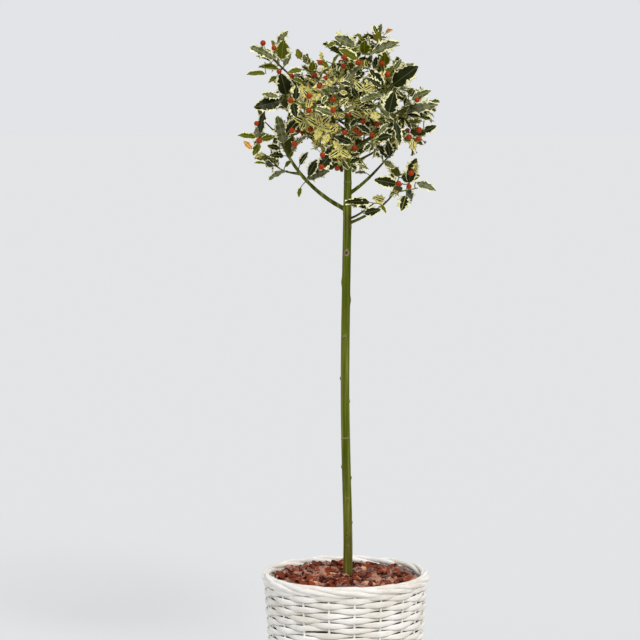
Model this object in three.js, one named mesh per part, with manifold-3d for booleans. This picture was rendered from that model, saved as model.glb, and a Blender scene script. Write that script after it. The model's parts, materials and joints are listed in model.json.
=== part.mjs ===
import Module from 'manifold-3d';
import * as THREE from 'three';
import { mergeVertices } from 'three/addons/utils/BufferGeometryUtils.js';

const wasm = await Module();
wasm.setup();

// A half-standard variegated holly with red berries, planted in a round basket of white-painted
// willow under a mulch of bark chips. Millimetres, +Z up. The origin is the centre of the basket's
// flat underside, and the side of the plant with the two open lower boughs faces -Y.

// Clearance between neighbouring pieces
const gap = 0.3;

// Basket
const basketHeight = 290;
const wallTop = 268.7;
const wallFootRadius = 128;
const wallTopRadius = 146;
const wallThickness = 10;
const weaveDepth = 2.2;
const weaveRows = 26;
const stakeCount = 19;
const stepsAround = 2 * stakeCount;
const baseThickness = 9;
const borderOuterRadius = 150;
const borderWidth = 16;
const borderSections = 3 * stakeCount;
const borderCorners = 6;
const plaitDepth = 1.3;

// Soil and mulch
const soilTop = 262;
const mulchRadius = 131;
const mulchEdgeTop = 277;
const mulchCrownTop = 284;
const mulchSides = 26;
const goldenAngle = 2.39996;
const mulchEdgeDrop = 3;
const mulchEdgeRun = 10;
const chipCount = 16;
const chipLength = 30;
const chipWidth = 17;
const chipThickness = 4.5;
const chipSizes = [0.75, 1.15];
const chipRoll = 0.5;
const chipPitch = 0.32;
const chipLift = [-0.5, 1.5];
const chipMargin = 3;
const chipSeed = 11;

// Trunk: the bends of its centre line, and its radius at the soil, at breast height and at the tip
const trunkBends = [[3, 0, soilTop + gap], [4, 0, 335], [-1.6, 2, 620], [2.9, 0, 1000], [1.8, -2, 1146]];
const trunkFootRadius = 8.3;
const trunkTipRadius = 2.8;
const trunkTipHeight = 1146;
const trunkFlare = 2.2;
const trunkFlareHeight = 14;
const trunkEvenThinning = 0.22;
const trunkCrownThinning = 7;
const trunkSides = 8;
const trunkRings = 34;
const trunkFlareRings = [0, 8, 20, 45];
const trunkPlainStart = 70;
const trunkLeastRing = 4;
const trunkPieces = 60;
const knotHalfHeight = 7;
const knotRingOffset = 9;
const knotSharpness = 4;
const sleeveRun = 3;
const trunkKnots = [
  { height: 352, angle: -75, size: 1.2 },
  { height: 421, angle: -80, size: 1.3 },
  { height: 712, angle: -95, size: 1.8 },
  { height: 778, angle: -15, size: 1.6 },
  { height: 810, angle: 205, size: 1.8 },
  { height: 862, angle: -90, size: 1.6 },
  { height: 987, angle: -60, size: 1.3 },
];

// Boughs: where each leaves its parent, the point it bends round, its tip and its radii
const boughSides = 5;
const boughRings = 5;
const boughPieces = 8;
const boughs = [
  { name: 'bough_left', height: 938, bend: [-74, -6, 975], tip: [-110, -12, 1050], thick: 3.8, thin: 2.5 },
  { name: 'bough_right', height: 966, bend: [28, -4, 982], tip: [52, -8, 1008], thick: 3.2, thin: 2.3 },
  { name: 'bough_low_right', height: 914, bend: [30, -6, 924], tip: [62, -12, 946], thick: 2.6, thin: 1.9 },
  {
    name: 'bough_left_mid', height: 1040,
    bend: [-42, -4, 1076], tip: [-80, -12, 1112], thick: 2.9, thin: 2.1,
  },
  {
    name: 'bough_upper_left', height: 1072,
    bend: [-40, -8, 1110], tip: [-88, -16, 1165], thick: 2.8, thin: 2,
  },
  {
    name: 'bough_upper_right', height: 1082,
    bend: [18, -4, 1116], tip: [34, -8, 1156], thick: 2.8, thin: 2,
  },
  {
    name: 'bough_right_mid', height: 1034,
    bend: [50, -4, 1070], tip: [84, -12, 1106], thick: 2.9, thin: 2.1,
  },
  {
    name: 'bough_back_left', height: 1026,
    bend: [-42, 28, 1042], tip: [-68, 46, 1072], thick: 3.2, thin: 2.3,
  },
  {
    name: 'bough_back_right', height: 1032,
    bend: [42, 28, 1044], tip: [68, 46, 1070], thick: 3.2, thin: 2.3,
  },
  { name: 'bough_back', height: 1046, bend: [0, 36, 1064], tip: [0, 60, 1096], thick: 3, thin: 2.2 },
  {
    name: 'spur_left_outer', parent: 'bough_left', share: 0.66,
    bend: [-98, 0, 1004], tip: [-110, 2, 1008], thick: 1.9, thin: 1.5,
  },
  {
    name: 'spur_left_inner', parent: 'bough_left', share: 0.55,
    bend: [-70, -12, 992], tip: [-68, -14, 996], thick: 1.7, thin: 1.4,
  },
];

// Foliage masses: the limb that carries each, the middle and radius of its space, how many whorls
// of shoots its stem has, the seed of its growth and its usual leaf length. A mass on the trunk
// also gives the height of its stem.
const masses = [
  {
    name: 'foliage_top_left', limb: 'bough_upper_left', centre: [-124, -20, 1200], radius: 64,
    shootWhorls: 2, berries: 1, seed: 9, leaf: 48,
  },
  {
    name: 'foliage_top_mid_left', limb: 'trunk', height: 1100, centre: [-56, -24, 1186], radius: 54,
    shootWhorls: 2, berries: 1, seed: 13, leaf: 42,
  },
  {
    name: 'foliage_leader', limb: 'trunk_tip', centre: [0, -14, 1212], radius: 54,
    shootWhorls: 2, berries: 0, seed: 6, leaf: 48,
  },
  {
    name: 'foliage_top_right', limb: 'bough_upper_right', centre: [62, -16, 1220], radius: 56,
    shootWhorls: 2, berries: 1, seed: 1, leaf: 48,
  },
  {
    name: 'foliage_right_upper', limb: 'trunk', height: 1062, centre: [82, -24, 1168], radius: 58,
    shootWhorls: 2, berries: 0, seed: 2, leaf: 52,
  },
  {
    name: 'foliage_right', limb: 'bough_right_mid', centre: [116, -18, 1122], radius: 56,
    shootWhorls: 2, berries: 1, seed: 8, leaf: 52,
  },
  {
    name: 'foliage_right_lower', limb: 'trunk', height: 1020, centre: [92, -22, 1074], radius: 58,
    shootWhorls: 2, berries: 1, seed: 13, leaf: 50,
  },
  {
    name: 'foliage_right_under', limb: 'bough_right', centre: [74, -26, 1034], radius: 48,
    shootWhorls: 1, berries: 0, seed: 2, leaf: 46,
  },
  {
    name: 'foliage_low_right', limb: 'bough_low_right', centre: [82, -18, 968], radius: 74,
    shootWhorls: 2, berries: 1, seed: 12, leaf: 48,
  },
  {
    name: 'foliage_low_inner', limb: 'trunk', height: 922, centre: [38, -34, 946], radius: 50,
    shootWhorls: 2, berries: 0, seed: 6, leaf: 44,
  },
  {
    name: 'foliage_left_mid', limb: 'bough_left_mid', centre: [-110, -18, 1138], radius: 56,
    shootWhorls: 2, berries: 0, seed: 16, leaf: 52,
  },
  {
    name: 'foliage_left_lower', limb: 'bough_left', centre: [-128, -14, 1078], radius: 62,
    shootWhorls: 2, berries: 1, seed: 13, leaf: 50,
  },
  {
    name: 'foliage_left_under', limb: 'spur_left_outer', centre: [-130, 2, 1024], radius: 50,
    shootWhorls: 1, berries: 0, seed: 8, leaf: 34,
  },
  {
    name: 'foliage_left_inner', limb: 'spur_left_inner', centre: [-62, -20, 1014], radius: 46,
    shootWhorls: 1, berries: 0, seed: 10, leaf: 38,
  },
  {
    name: 'foliage_front_left', limb: 'trunk', height: 1078, centre: [-48, -70, 1130], radius: 64,
    shootWhorls: 2, berries: 1, seed: 1, leaf: 44,
  },
  {
    name: 'foliage_front_right', limb: 'trunk', height: 1084, centre: [32, -72, 1136], radius: 64,
    shootWhorls: 2, berries: 1, seed: 12, leaf: 44,
  },
  {
    name: 'foliage_front_low', limb: 'trunk', height: 1030, centre: [-4, -58, 1068], radius: 60,
    shootWhorls: 2, berries: 1, seed: 14, leaf: 44,
  },
  {
    name: 'foliage_front_low_right', limb: 'trunk', height: 1050, centre: [52, -56, 1080], radius: 56,
    shootWhorls: 2, berries: 0, seed: 1, leaf: 44,
  },
  {
    name: 'foliage_front_low_left', limb: 'trunk', height: 1054, centre: [-62, -52, 1076], radius: 56,
    shootWhorls: 2, berries: 0, seed: 13, leaf: 44,
  },
  {
    name: 'foliage_front_top', limb: 'trunk', height: 1114, centre: [-6, -56, 1178], radius: 56,
    shootWhorls: 2, berries: 1, seed: 7, leaf: 44,
  },
  {
    name: 'foliage_back_top', limb: 'trunk', height: 1120, centre: [2, 50, 1198], radius: 60,
    shootWhorls: 2, berries: 1, seed: 15, leaf: 50,
  },
  {
    name: 'foliage_back_left_upper', limb: 'trunk', height: 1088, centre: [-76, 52, 1158], radius: 62,
    shootWhorls: 2, berries: 0, seed: 6, leaf: 50,
  },
  {
    name: 'foliage_back_right_upper', limb: 'trunk', height: 1104, centre: [78, 52, 1158], radius: 62,
    shootWhorls: 2, berries: 0, seed: 10, leaf: 50,
  },
  {
    name: 'foliage_back_left', limb: 'bough_back_left', centre: [-92, 66, 1084], radius: 62,
    shootWhorls: 2, berries: 0, seed: 5, leaf: 50,
  },
  {
    name: 'foliage_back_right', limb: 'bough_back_right', centre: [90, 66, 1082], radius: 62,
    shootWhorls: 2, berries: 0, seed: 11, leaf: 50,
  },
  {
    name: 'foliage_back', limb: 'bough_back', centre: [0, 92, 1116], radius: 62,
    shootWhorls: 2, berries: 1, seed: 8, leaf: 50,
  },
  {
    name: 'foliage_back_low', limb: 'trunk', height: 1022, centre: [-2, 60, 1050], radius: 54,
    shootWhorls: 2, berries: 0, seed: 15, leaf: 48,
  },
];

// Twigs: four-sided. A stem bears whorls of two shoots, and then of leaves; a shoot bears whorls of
// three leaves. Both end in one more leaf.
const twigSides = 4;
const shootSides = [0, 2];
const leafSides = [0, 1, 2];
const whorlTwist = -1.19;
const stemLeafWhorls = 1;
const stemFirstWhorlShare = 0.5;
const stemBareShares = [0.25];
const stemPieces = 5;
const trunkStemRadius = 2.4;
const stemTipRadius = 1.2;
const stemRoomRadius = 2;
// How far along its reach a stem bends, how far it sags there and how far it runs past the middle
// of its space
const trunkStemBend = { share: 0.55, sag: 0.12, past: 0.3 };
const boughStemBend = { share: 0.45, past: 0.35 };
const shootWhorls = 2;
const shootFirstWhorlShare = 0.45;
const shootTipRadius = 0.9;
const shootFootRadius = 1.5;
const shootTries = 6;
const shootSwing = 0.4;
const shootShortening = 0.08;
const shootBareShare = 0.35;
const shootLeanDegrees = [34, 72];
const shootLengthShares = [0.4, 0.62];
const shootLift = 0.12;

// Leaves and berries
const nodeHeight = 2.6;
const leafWidthShare = 0.56;
const leafRibShare = 0.42;
const leafRibLift = 0.011;
const leafTipDrop = 0.12;
const leafReachShare = 0.7;
const leafTries = 12;
const leafLeanDegrees = [42, 74];
const tipLeafLeanDegrees = [4, 26];
const leafSwing = 0.35;
const leafSwingGrowth = 0.25;
const leafLengthShares = [0.86, 1.14];
const leafShortening = 0.04;
// A leaf's face looks up, out of the crown and a little at random
const leafFacing = { random: 0.8, up: 0.55, outward: 0.7 };
const crownMiddle = new THREE.Vector3(-2, 0, 1120);
const berryRadius = 4.9;
const berrySunk = 0.85;

// Room kept between a piece of foliage and limbs, other twigs and the neighbours' spaces
const limbRoom = 0.7;
const twigRoom = 0.5;
const berryRoom = 0.6;
const spaceMargin = 0.6;

// One side of a leaf's edge, spine by spine: share along, share of the width, lift as a share of length
const leafSide = [
  [0.3, 0.47, 0.05],
  [0.66, 0.42, 0.04],
];

const willow = { color: 0xe9e7e1, roughness: 0.62, metalness: 0 };
const soil = { color: 0x3a2a20, roughness: 0.95, metalness: 0 };
const barkChips = { color: 0x8a4a38, roughness: 0.9, metalness: 0 };
const youngBark = { color: 0x6b7038, roughness: 0.6, metalness: 0 };
const hollyLeaf = { color: 0x5d6b34, roughness: 0.4, metalness: 0 };

// Repeatable random numbers from 0 to 1
function seededRandom(seed) {
  let state = (seed * 7919) % 2147483647;
  return () => {
    state = (state * 48271) % 2147483647;
    return state / 2147483647;
  };
}

function point(triple) {
  return new THREE.Vector3(triple[0], triple[1], triple[2]);
}

function between(random, low, high) {
  return low + (high - low) * random();
}

function closedGeometry(positions, faces) {
  const geometry = new THREE.BufferGeometry();
  geometry.setAttribute('position', new THREE.Float32BufferAttribute(positions, 3));
  geometry.setIndex(faces);
  return geometry;
}

function toSolid(geometry) {
  const bare = geometry.clone();
  bare.deleteAttribute('normal');
  bare.deleteAttribute('uv');
  const merged = mergeVertices(bare, 1e-4);
  const vertProperties = new Float32Array(merged.attributes.position.array);
  const triVerts = new Uint32Array(merged.index.array);
  return new wasm.Manifold(new wasm.Mesh({ numProp: 3, vertProperties, triVerts }));
}

// The largest piece of a fused solid. Loose scraps and the skins of sealed hollows are left out.
function mainBody(fused) {
  const pieces = fused.decompose();
  pieces.sort((a, b) => b.volume() - a.volume());
  return pieces[0].simplify(0.01);
}

function toGeometry(solid) {
  const mesh = solid.getMesh();
  return closedGeometry(Array.from(mesh.vertProperties), Array.from(mesh.triVerts));
}

function namedMesh(name, geometry, finish) {
  const flat = geometry.index ? geometry.toNonIndexed() : geometry;
  flat.computeVertexNormals();
  const mesh = new THREE.Mesh(flat, new THREE.MeshStandardMaterial({ ...finish, flatShading: true }));
  mesh.name = name;
  return mesh;
}

// The way from the middle of a tube's first ring to its first corner, before it is squared up
const tubeStart = new THREE.Vector3(0.31, -0.95, 0.05);

// A closed tube through the points; radiusAt gives the radius at a ring and an angle round it
function tube(points, radiusAt, sides) {
  const positions = [];
  const faces = [];
  const last = points.length - 1;
  let across = tubeStart;
  for (let ring = 0; ring <= last; ring += 1) {
    const before = points[Math.max(ring - 1, 0)];
    const after = points[Math.min(ring + 1, last)];
    const along = after.clone().sub(before).normalize();
    across = across.clone().addScaledVector(along, -across.dot(along)).normalize();
    const third = along.clone().cross(across);
    for (let side = 0; side < sides; side += 1) {
      const angle = (2 * Math.PI * side) / sides;
      const radius = radiusAt(ring, angle);
      const spot = points[ring].clone();
      spot.addScaledVector(across, radius * Math.cos(angle));
      spot.addScaledVector(third, radius * Math.sin(angle));
      positions.push(spot.x, spot.y, spot.z);
    }
  }
  for (let ring = 0; ring < last; ring += 1) {
    for (let side = 0; side < sides; side += 1) {
      const next = (side + 1) % sides;
      const low = ring * sides;
      const high = low + sides;
      faces.push(low + side, low + next, high + next);
      faces.push(low + side, high + next, high + side);
    }
  }
  for (let side = 1; side < sides - 1; side += 1) {
    faces.push(0, side + 1, side);
    faces.push(last * sides, last * sides + side, last * sides + side + 1);
  }
  return closedGeometry(positions, faces);
}

function taper(first, final, rings) {
  return (ring) => THREE.MathUtils.lerp(first, final, ring / (rings - 1));
}

// A solid of revolution about +Z whose first corner lies towards +X
function turned(profile, sides) {
  const geometry = new THREE.LatheGeometry(profile, sides, Math.PI / 2, 2 * Math.PI);
  geometry.rotateX(Math.PI / 2);
  return geometry;
}

// Basket base: a plain round floor inside the foot of the wall
function basketBase() {
  const radius = wallFootRadius - wallThickness - gap;
  const profile = [
    new THREE.Vector2(0, 0),
    new THREE.Vector2(radius, 0),
    new THREE.Vector2(radius, baseThickness),
    new THREE.Vector2(0, baseThickness),
  ];
  return turned(profile, stakeCount);
}

function wallRadius(height) {
  return THREE.MathUtils.lerp(wallFootRadius, wallTopRadius, height / wallTop);
}

// Basket wall: one weaver winds up round an odd number of stakes, so each turn passes in front of
// the stakes that the turn below passes behind
function basketWall() {
  const positions = [];
  const faces = [];
  const rowHeight = wallTop / weaveRows;
  const turns = weaveRows - 1;
  const addSpot = (step, radius, height) => {
    const angle = (2 * Math.PI * step) / stepsAround;
    positions.push(radius * Math.cos(angle), radius * Math.sin(angle), height);
  };
  const ring = (radius, height) => {
    const first = positions.length / 3;
    for (let step = 0; step < stepsAround; step += 1) {
      addSpot(step, radius, height);
    }
    return (step) => first + (step % stepsAround);
  };
  const foot = ring(wallFootRadius, 0);
  const firstWoven = positions.length / 3;
  for (let step = 0; step <= turns * stepsAround; step += 1) {
    const height = rowHeight * (0.5 + step / stepsAround);
    const wave = weaveDepth * Math.cos((Math.PI * step) / 2);
    addSpot(step, wallRadius(height) + wave, height);
  }
  const woven = (step) => firstWoven + step;
  const top = ring(wallTopRadius, wallTop);
  const topInside = ring(wallTopRadius - wallThickness, wallTop);
  const footInside = ring(wallFootRadius - wallThickness, 0);
  const quad = (a, b, c, d) => faces.push(a, b, c, a, c, d);
  for (let step = 0; step < stepsAround; step += 1) {
    quad(foot(step), foot(step + 1), woven(step + 1), woven(step));
  }
  faces.push(foot(0), woven(0), woven(stepsAround));
  for (let step = 0; step < (turns - 1) * stepsAround; step += 1) {
    quad(woven(step), woven(step + 1), woven(step + 1 + stepsAround), woven(step + stepsAround));
  }
  const lastTurn = (turns - 1) * stepsAround;
  for (let step = 0; step < stepsAround; step += 1) {
    quad(woven(lastTurn + step), woven(lastTurn + step + 1), top(step + 1), top(step));
    quad(top(step), top(step + 1), topInside(step + 1), topInside(step));
    quad(topInside(step), topInside(step + 1), footInside(step + 1), footInside(step));
    quad(footInside(step), footInside(step + 1), foot(step + 1), foot(step));
  }
  faces.push(woven(lastTurn + stepsAround), woven(lastTurn), top(0));
  return closedGeometry(positions, faces);
}

// Basket border: a plait of stake ends laid round the rim, just clear of the wall
function basketBorder() {
  const bottom = wallTop + gap;
  const halfHeight = (basketHeight - bottom) / 2;
  const halfWidth = borderWidth / 2 / Math.cos(Math.PI / borderCorners);
  const middleRadius = borderOuterRadius - borderWidth / 2;
  const positions = [];
  const faces = [];
  for (let section = 0; section < borderSections; section += 1) {
    const around = (2 * Math.PI * section) / borderSections;
    for (let corner = 0; corner < borderCorners; corner += 1) {
      const turn = (2 * Math.PI * (corner + 0.5)) / borderCorners;
      const strand = plaitDepth * Math.cos(2 * turn + stakeCount * around);
      const outward = (halfWidth - plaitDepth + strand) * Math.cos(turn);
      const upward = (halfHeight - plaitDepth + strand) * Math.sin(turn);
      const radius = middleRadius + outward;
      const height = bottom + halfHeight + upward;
      positions.push(radius * Math.cos(around), radius * Math.sin(around), height);
    }
  }
  for (let section = 0; section < borderSections; section += 1) {
    const here = section * borderCorners;
    const there = ((section + 1) % borderSections) * borderCorners;
    for (let corner = 0; corner < borderCorners; corner += 1) {
      const next = (corner + 1) % borderCorners;
      faces.push(here + corner, there + corner, there + next);
      faces.push(here + corner, there + next, here + next);
    }
  }
  return closedGeometry(positions, faces);
}

function rootBall() {
  const inset = wallThickness + gap;
  const bottom = baseThickness + gap;
  const profile = [
    new THREE.Vector2(0, bottom),
    new THREE.Vector2(wallRadius(bottom) - inset, bottom),
    new THREE.Vector2(wallRadius(soilTop) - inset, soilTop),
    new THREE.Vector2(0, soilTop),
  ];
  return turned(profile, stakeCount);
}

// Bark mulch: a low mound with chips lying in it at all angles, and the trunk's hole through it
function barkMulch(trunkSleeve) {
  const random = seededRandom(chipSeed);
  const profile = [
    new THREE.Vector2(0, soilTop + gap),
    new THREE.Vector2(mulchRadius, soilTop + gap),
    new THREE.Vector2(mulchRadius, mulchEdgeTop - mulchEdgeDrop),
    new THREE.Vector2(mulchRadius - mulchEdgeRun, mulchEdgeTop),
    new THREE.Vector2(mulchRadius / 2, (mulchEdgeTop + mulchCrownTop) / 2 + 1),
    new THREE.Vector2(0, mulchCrownTop),
  ];
  const mound = toSolid(turned(profile, mulchSides));
  const pieces = [mound];
  for (let chip = 0; chip < chipCount; chip += 1) {
    const share = Math.sqrt((chip + 0.5) / chipCount);
    const angle = chip * goldenAngle;
    const radius = share * (mulchRadius - chipLength / 2 - chipMargin);
    const size = between(random, ...chipSizes);
    const box = new THREE.BoxGeometry(chipLength * size, chipWidth * size, chipThickness);
    box.rotateX(between(random, -chipRoll, chipRoll));
    box.rotateY(between(random, -chipPitch, chipPitch));
    box.rotateZ(between(random, 0, 2 * Math.PI));
    const ground = THREE.MathUtils.lerp(mulchCrownTop, mulchEdgeTop, share * share);
    const lift = between(random, ...chipLift);
    box.translate(radius * Math.cos(angle), radius * Math.sin(angle), ground + lift);
    pieces.push(toSolid(box));
  }
  return mainBody(wasm.Manifold.union(pieces).subtract(trunkSleeve));
}

const trunkCurve = new THREE.CatmullRomCurve3(trunkBends.map(point));

function trunkPoint(height) {
  let low = 0;
  let high = 1;
  for (let pass = 0; pass < 30; pass += 1) {
    const middle = (low + high) / 2;
    if (trunkCurve.getPoint(middle).z < height) {
      low = middle;
    } else {
      high = middle;
    }
  }
  return trunkCurve.getPoint(low);
}

// The trunk keeps most of its thickness to the first bough, then thins quickly through the crown
function trunkRadius(height) {
  const footHeight = trunkBends[0][2];
  const share = THREE.MathUtils.clamp((height - footHeight) / (trunkTipHeight - footHeight), 0, 1);
  const flare = trunkFlare * Math.exp(-(height - footHeight) / trunkFlareHeight);
  const lost = trunkEvenThinning * share + (1 - trunkEvenThinning) * share ** trunkCrownThinning;
  return trunkTipRadius + (trunkFootRadius - trunkTipRadius) * (1 - lost) + flare;
}

function knotSwelling(height, angle) {
  let swelling = 0;
  for (const knot of trunkKnots) {
    const rise = (height - knot.height) / knotHalfHeight;
    const turn = angle - THREE.MathUtils.degToRad(knot.angle);
    swelling += knot.size * Math.exp(-rise * rise) * Math.max(0, Math.cos(turn)) ** knotSharpness;
  }
  return swelling;
}

// The trunk, cut flat at its foot, or a sleeve round it that is wider by an extra and starts lower
function trunkTube(extra) {
  const foot = trunkBends[0][2];
  const heights = trunkFlareRings.map((rise) => foot + rise);
  for (const knot of trunkKnots) {
    heights.push(knot.height - knotRingOffset, knot.height, knot.height + knotRingOffset);
  }
  const spare = trunkRings - heights.length;
  for (let ring = 0; ring < spare; ring += 1) {
    heights.push(THREE.MathUtils.lerp(foot + trunkPlainStart, trunkTipHeight, ring / (spare - 1)));
  }
  heights.sort((a, b) => a - b);
  const spaced = heights.filter((height, index) => {
    return index === 0 || height - heights[index - 1] > trunkLeastRing;
  });
  spaced[spaced.length - 1] = trunkTipHeight;
  const points = spaced.map(trunkPoint);
  const firstDirection = Math.atan2(tubeStart.y, tubeStart.x);
  const radiusAt = (ring, angle) => {
    const height = spaced[ring];
    return trunkRadius(height) + knotSwelling(height, firstDirection + angle) + extra;
  };
  const geometry = tube(points, radiusAt, trunkSides);
  for (let side = 0; side < trunkSides; side += 1) {
    geometry.attributes.position.setZ(side, foot - sleeveRun * extra);
  }
  return geometry;
}

function boughCurve(bough, limbs) {
  const parent = bough.parent ? limbs[bough.parent].curve : null;
  const start = parent ? parent.getPoint(bough.share) : trunkPoint(bough.height);
  return new THREE.QuadraticBezierCurve3(start, point(bough.bend), point(bough.tip));
}

// The stem of a mass leaves its limb 0.3 mm clear and bends up into the middle of its space
function stemCurve(mass, limbs) {
  const middle = mass.middle.clone();
  if (mass.limb === 'trunk') {
    const start = trunkPoint(mass.height);
    const reach = middle.clone().sub(start);
    const bend = start.clone().addScaledVector(reach, trunkStemBend.share);
    bend.z -= trunkStemBend.sag * reach.length();
    middle.addScaledVector(reach.normalize(), trunkStemBend.past * mass.radius);
    return new THREE.QuadraticBezierCurve3(start, bend, middle);
  }
  const curve = mass.limb === 'trunk_tip' ? trunkCurve : limbs[mass.limb].curve;
  const along = curve.getTangent(1);
  const start = curve.getPoint(1).addScaledVector(along, gap);
  const reach = middle.clone().sub(start);
  const bend = start.clone().addScaledVector(along, boughStemBend.share * reach.length());
  middle.addScaledVector(reach.normalize(), boughStemBend.past * mass.radius);
  return new THREE.QuadraticBezierCurve3(start, bend, middle);
}

function middleOf(spots) {
  const sum = spots.reduce((total, spot) => total.add(spot), new THREE.Vector3());
  return sum.multiplyScalar(1 / spots.length);
}

// Corners of one leaf: its edge from one side of the root to the other, and the middle of its rib
function leafShape(leaf) {
  const across = leaf.along.clone().cross(leaf.up).normalize();
  const spot = (along, side, lift) => leaf.root.clone()
    .addScaledVector(leaf.along, along * leaf.length)
    .addScaledVector(across, side * leafWidthShare * leaf.length)
    .addScaledVector(leaf.up, (lift - leafTipDrop * along * along) * leaf.length);
  const near = leafSide.map((corner) => spot(corner[0], corner[1], corner[2]));
  const far = leafSide.map((corner) => spot(corner[0], -corner[1], corner[2])).reverse();
  return { edge: [...near, spot(1, 0, 0), ...far], rib: spot(leafRibShare, 0, leafRibLift) };
}

// The loop of corners of one face of a twig, or of its tip, as seen from outside
function faceLoop(twig, ring, side) {
  const low = twig.rings[ring].corners;
  if (ring === twig.rings.length - 1) {
    return low;
  }
  const next = (side + 1) % twigSides;
  const high = twig.rings[ring + 1].corners;
  return [low[side], low[next], high[next], high[side]];
}

// Rings of a twig: its foot, any that only follow a bend, and two round each whorl. The last whorl
// ends at the tip.
function twigRings(twig) {
  const half = nodeHeight / 2 / twig.curve.getLength();
  const stops = twig.bareShares.map((share) => ({ share, turn: 0 }));
  for (let whorl = 0; whorl < twig.whorls; whorl += 1) {
    const middle = THREE.MathUtils.lerp(twig.firstWhorlShare, 1 - half, whorl / (twig.whorls - 1));
    stops.push({ share: middle - half, turn: whorl * whorlTwist });
    stops.push({ share: middle + half, turn: whorl * whorlTwist });
  }
  let across = twig.across;
  const rings = stops.map((stop) => {
    const along = twig.curve.getTangent(stop.share);
    across = across.clone().addScaledVector(along, -across.dot(along)).normalize();
    const third = along.clone().cross(across);
    const centre = twig.curve.getPoint(stop.share);
    const radius = THREE.MathUtils.lerp(twig.footRadius, twig.tipRadius, stop.share);
    const corners = [];
    for (let side = 0; side < twigSides; side += 1) {
      const angle = stop.turn + (2 * Math.PI * side) / twigSides;
      const corner = centre.clone().addScaledVector(across, radius * Math.cos(angle));
      corners.push(corner.addScaledVector(third, radius * Math.sin(angle)));
    }
    return { centre, along, corners };
  });
  return twig.loop ? [{ corners: twig.loop }, ...rings] : rings;
}

function firstWhorlRing(twig) {
  return twig.bareShares.length + (twig.loop ? 1 : 0);
}

// Adds a leaf that grows out of a loop of corners: a fan round its rib above, and one from its tip
// below
function addLeaf(mesh, leaf, loop, numbers) {
  const centre = middleOf(loop);
  const heights = loop.map((corner, number) => {
    return middleOf([corner, loop[(number + 1) % twigSides]]).sub(centre).dot(leaf.up);
  });
  const top = heights.indexOf(Math.max(...heights));
  const fromTop = numbers.map((number, offset) => numbers[(top + offset) % twigSides]);
  const [highFar, highNear, lowNear, lowFar] = fromTop;
  const edge = leaf.shape.edge.map((corner) => mesh.add(corner));
  const rib = mesh.add(leaf.shape.rib);
  const upper = [highNear, ...edge, highFar];
  upper.forEach((corner, number) => {
    mesh.faces.push(rib, corner, upper[(number + 1) % upper.length]);
  });
  const tip = edge[leafSide.length];
  const lower = [...edge.slice(leafSide.length + 1), lowFar, lowNear, ...edge.slice(0, leafSide.length)];
  lower.slice(1).forEach((corner, number) => {
    mesh.faces.push(tip, corner, lower[number]);
  });
  mesh.faces.push(highNear, lowNear, edge[0]);
  mesh.faces.push(lowFar, highFar, edge[edge.length - 1]);
}

// Adds a twig; each leaf or shoot that it bears takes the place of the face that it grows from
function addTwig(mesh, twig, footNumbers) {
  const { rings } = twig;
  const numbers = rings.map((ring) => ring.corners).map((corners, ring) => {
    return ring === 0 && footNumbers ? footNumbers : corners.map((corner) => mesh.add(corner));
  });
  const bear = (ring, side, loopNumbers) => {
    const growth = twig.growths.find((grown) => grown.ring === ring && grown.side === side);
    if (growth && growth.rings) {
      addTwig(mesh, growth, loopNumbers);
    } else if (growth) {
      addLeaf(mesh, growth, faceLoop(twig, ring, side), loopNumbers);
    } else {
      mesh.faces.push(loopNumbers[0], loopNumbers[1], loopNumbers[2]);
      mesh.faces.push(loopNumbers[0], loopNumbers[2], loopNumbers[3]);
    }
  };
  for (let ring = 0; ring < rings.length - 1; ring += 1) {
    for (let side = 0; side < twigSides; side += 1) {
      const next = (side + 1) % twigSides;
      const [low, high] = [numbers[ring], numbers[ring + 1]];
      bear(ring, side, [low[side], low[next], high[next], high[side]]);
    }
  }
  bear(rings.length - 1, 0, numbers[rings.length - 1]);
  if (!footNumbers) {
    mesh.faces.push(numbers[0][0], numbers[0][2], numbers[0][1]);
    mesh.faces.push(numbers[0][0], numbers[0][3], numbers[0][2]);
  }
}

function stemGeometry(stem) {
  const mesh = { positions: [], faces: [] };
  mesh.add = (corner) => {
    mesh.positions.push(corner.x, corner.y, corner.z);
    return mesh.positions.length / 3 - 1;
  };
  addTwig(mesh, stem, null);
  return closedGeometry(mesh.positions, mesh.faces);
}

// Shortest distance between two straight pieces
function segmentsApart(first, second) {
  const along = first.to.clone().sub(first.from);
  const other = second.to.clone().sub(second.from);
  const between0 = first.from.clone().sub(second.from);
  const [a, e, f] = [along.lengthSq(), other.lengthSq(), other.dot(between0)];
  const [b, c] = [along.dot(other), along.dot(between0)];
  const spread = a * e - b * b;
  let s = spread > 1e-9 ? THREE.MathUtils.clamp((b * f - c * e) / spread, 0, 1) : 0;
  const t = THREE.MathUtils.clamp((b * s + f) / e, 0, 1);
  s = THREE.MathUtils.clamp((b * t - c) / a, 0, 1);
  const near = first.from.clone().addScaledVector(along, s);
  return near.distanceTo(second.from.clone().addScaledVector(other, t));
}

function distanceToSegment(spot, segment) {
  return segmentsApart({ from: spot, to: spot.clone().addScalar(1e-4) }, segment);
}

// A spot is in a mass's space when it is in the mass's ball and on its side of every neighbour's
function inSpace(spot, mass) {
  const power = (other) => spot.distanceToSquared(other.middle) - other.radius ** 2;
  const own = power(mass);
  const clearOf = (other) => (power(other.mass) - own) / other.apart > spaceMargin;
  return own < 0 && mass.neighbours.every(clearOf);
}

function findNeighbours() {
  for (const mass of masses) {
    mass.middle = point(mass.centre);
  }
  for (const mass of masses) {
    const rows = masses.filter((other) => other !== mass).map((other) => {
      return { mass: other, apart: 2 * other.middle.distanceTo(mass.middle) };
    });
    mass.neighbours = rows.filter((row) => row.apart < 2 * (row.mass.radius + mass.radius));
  }
}

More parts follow.
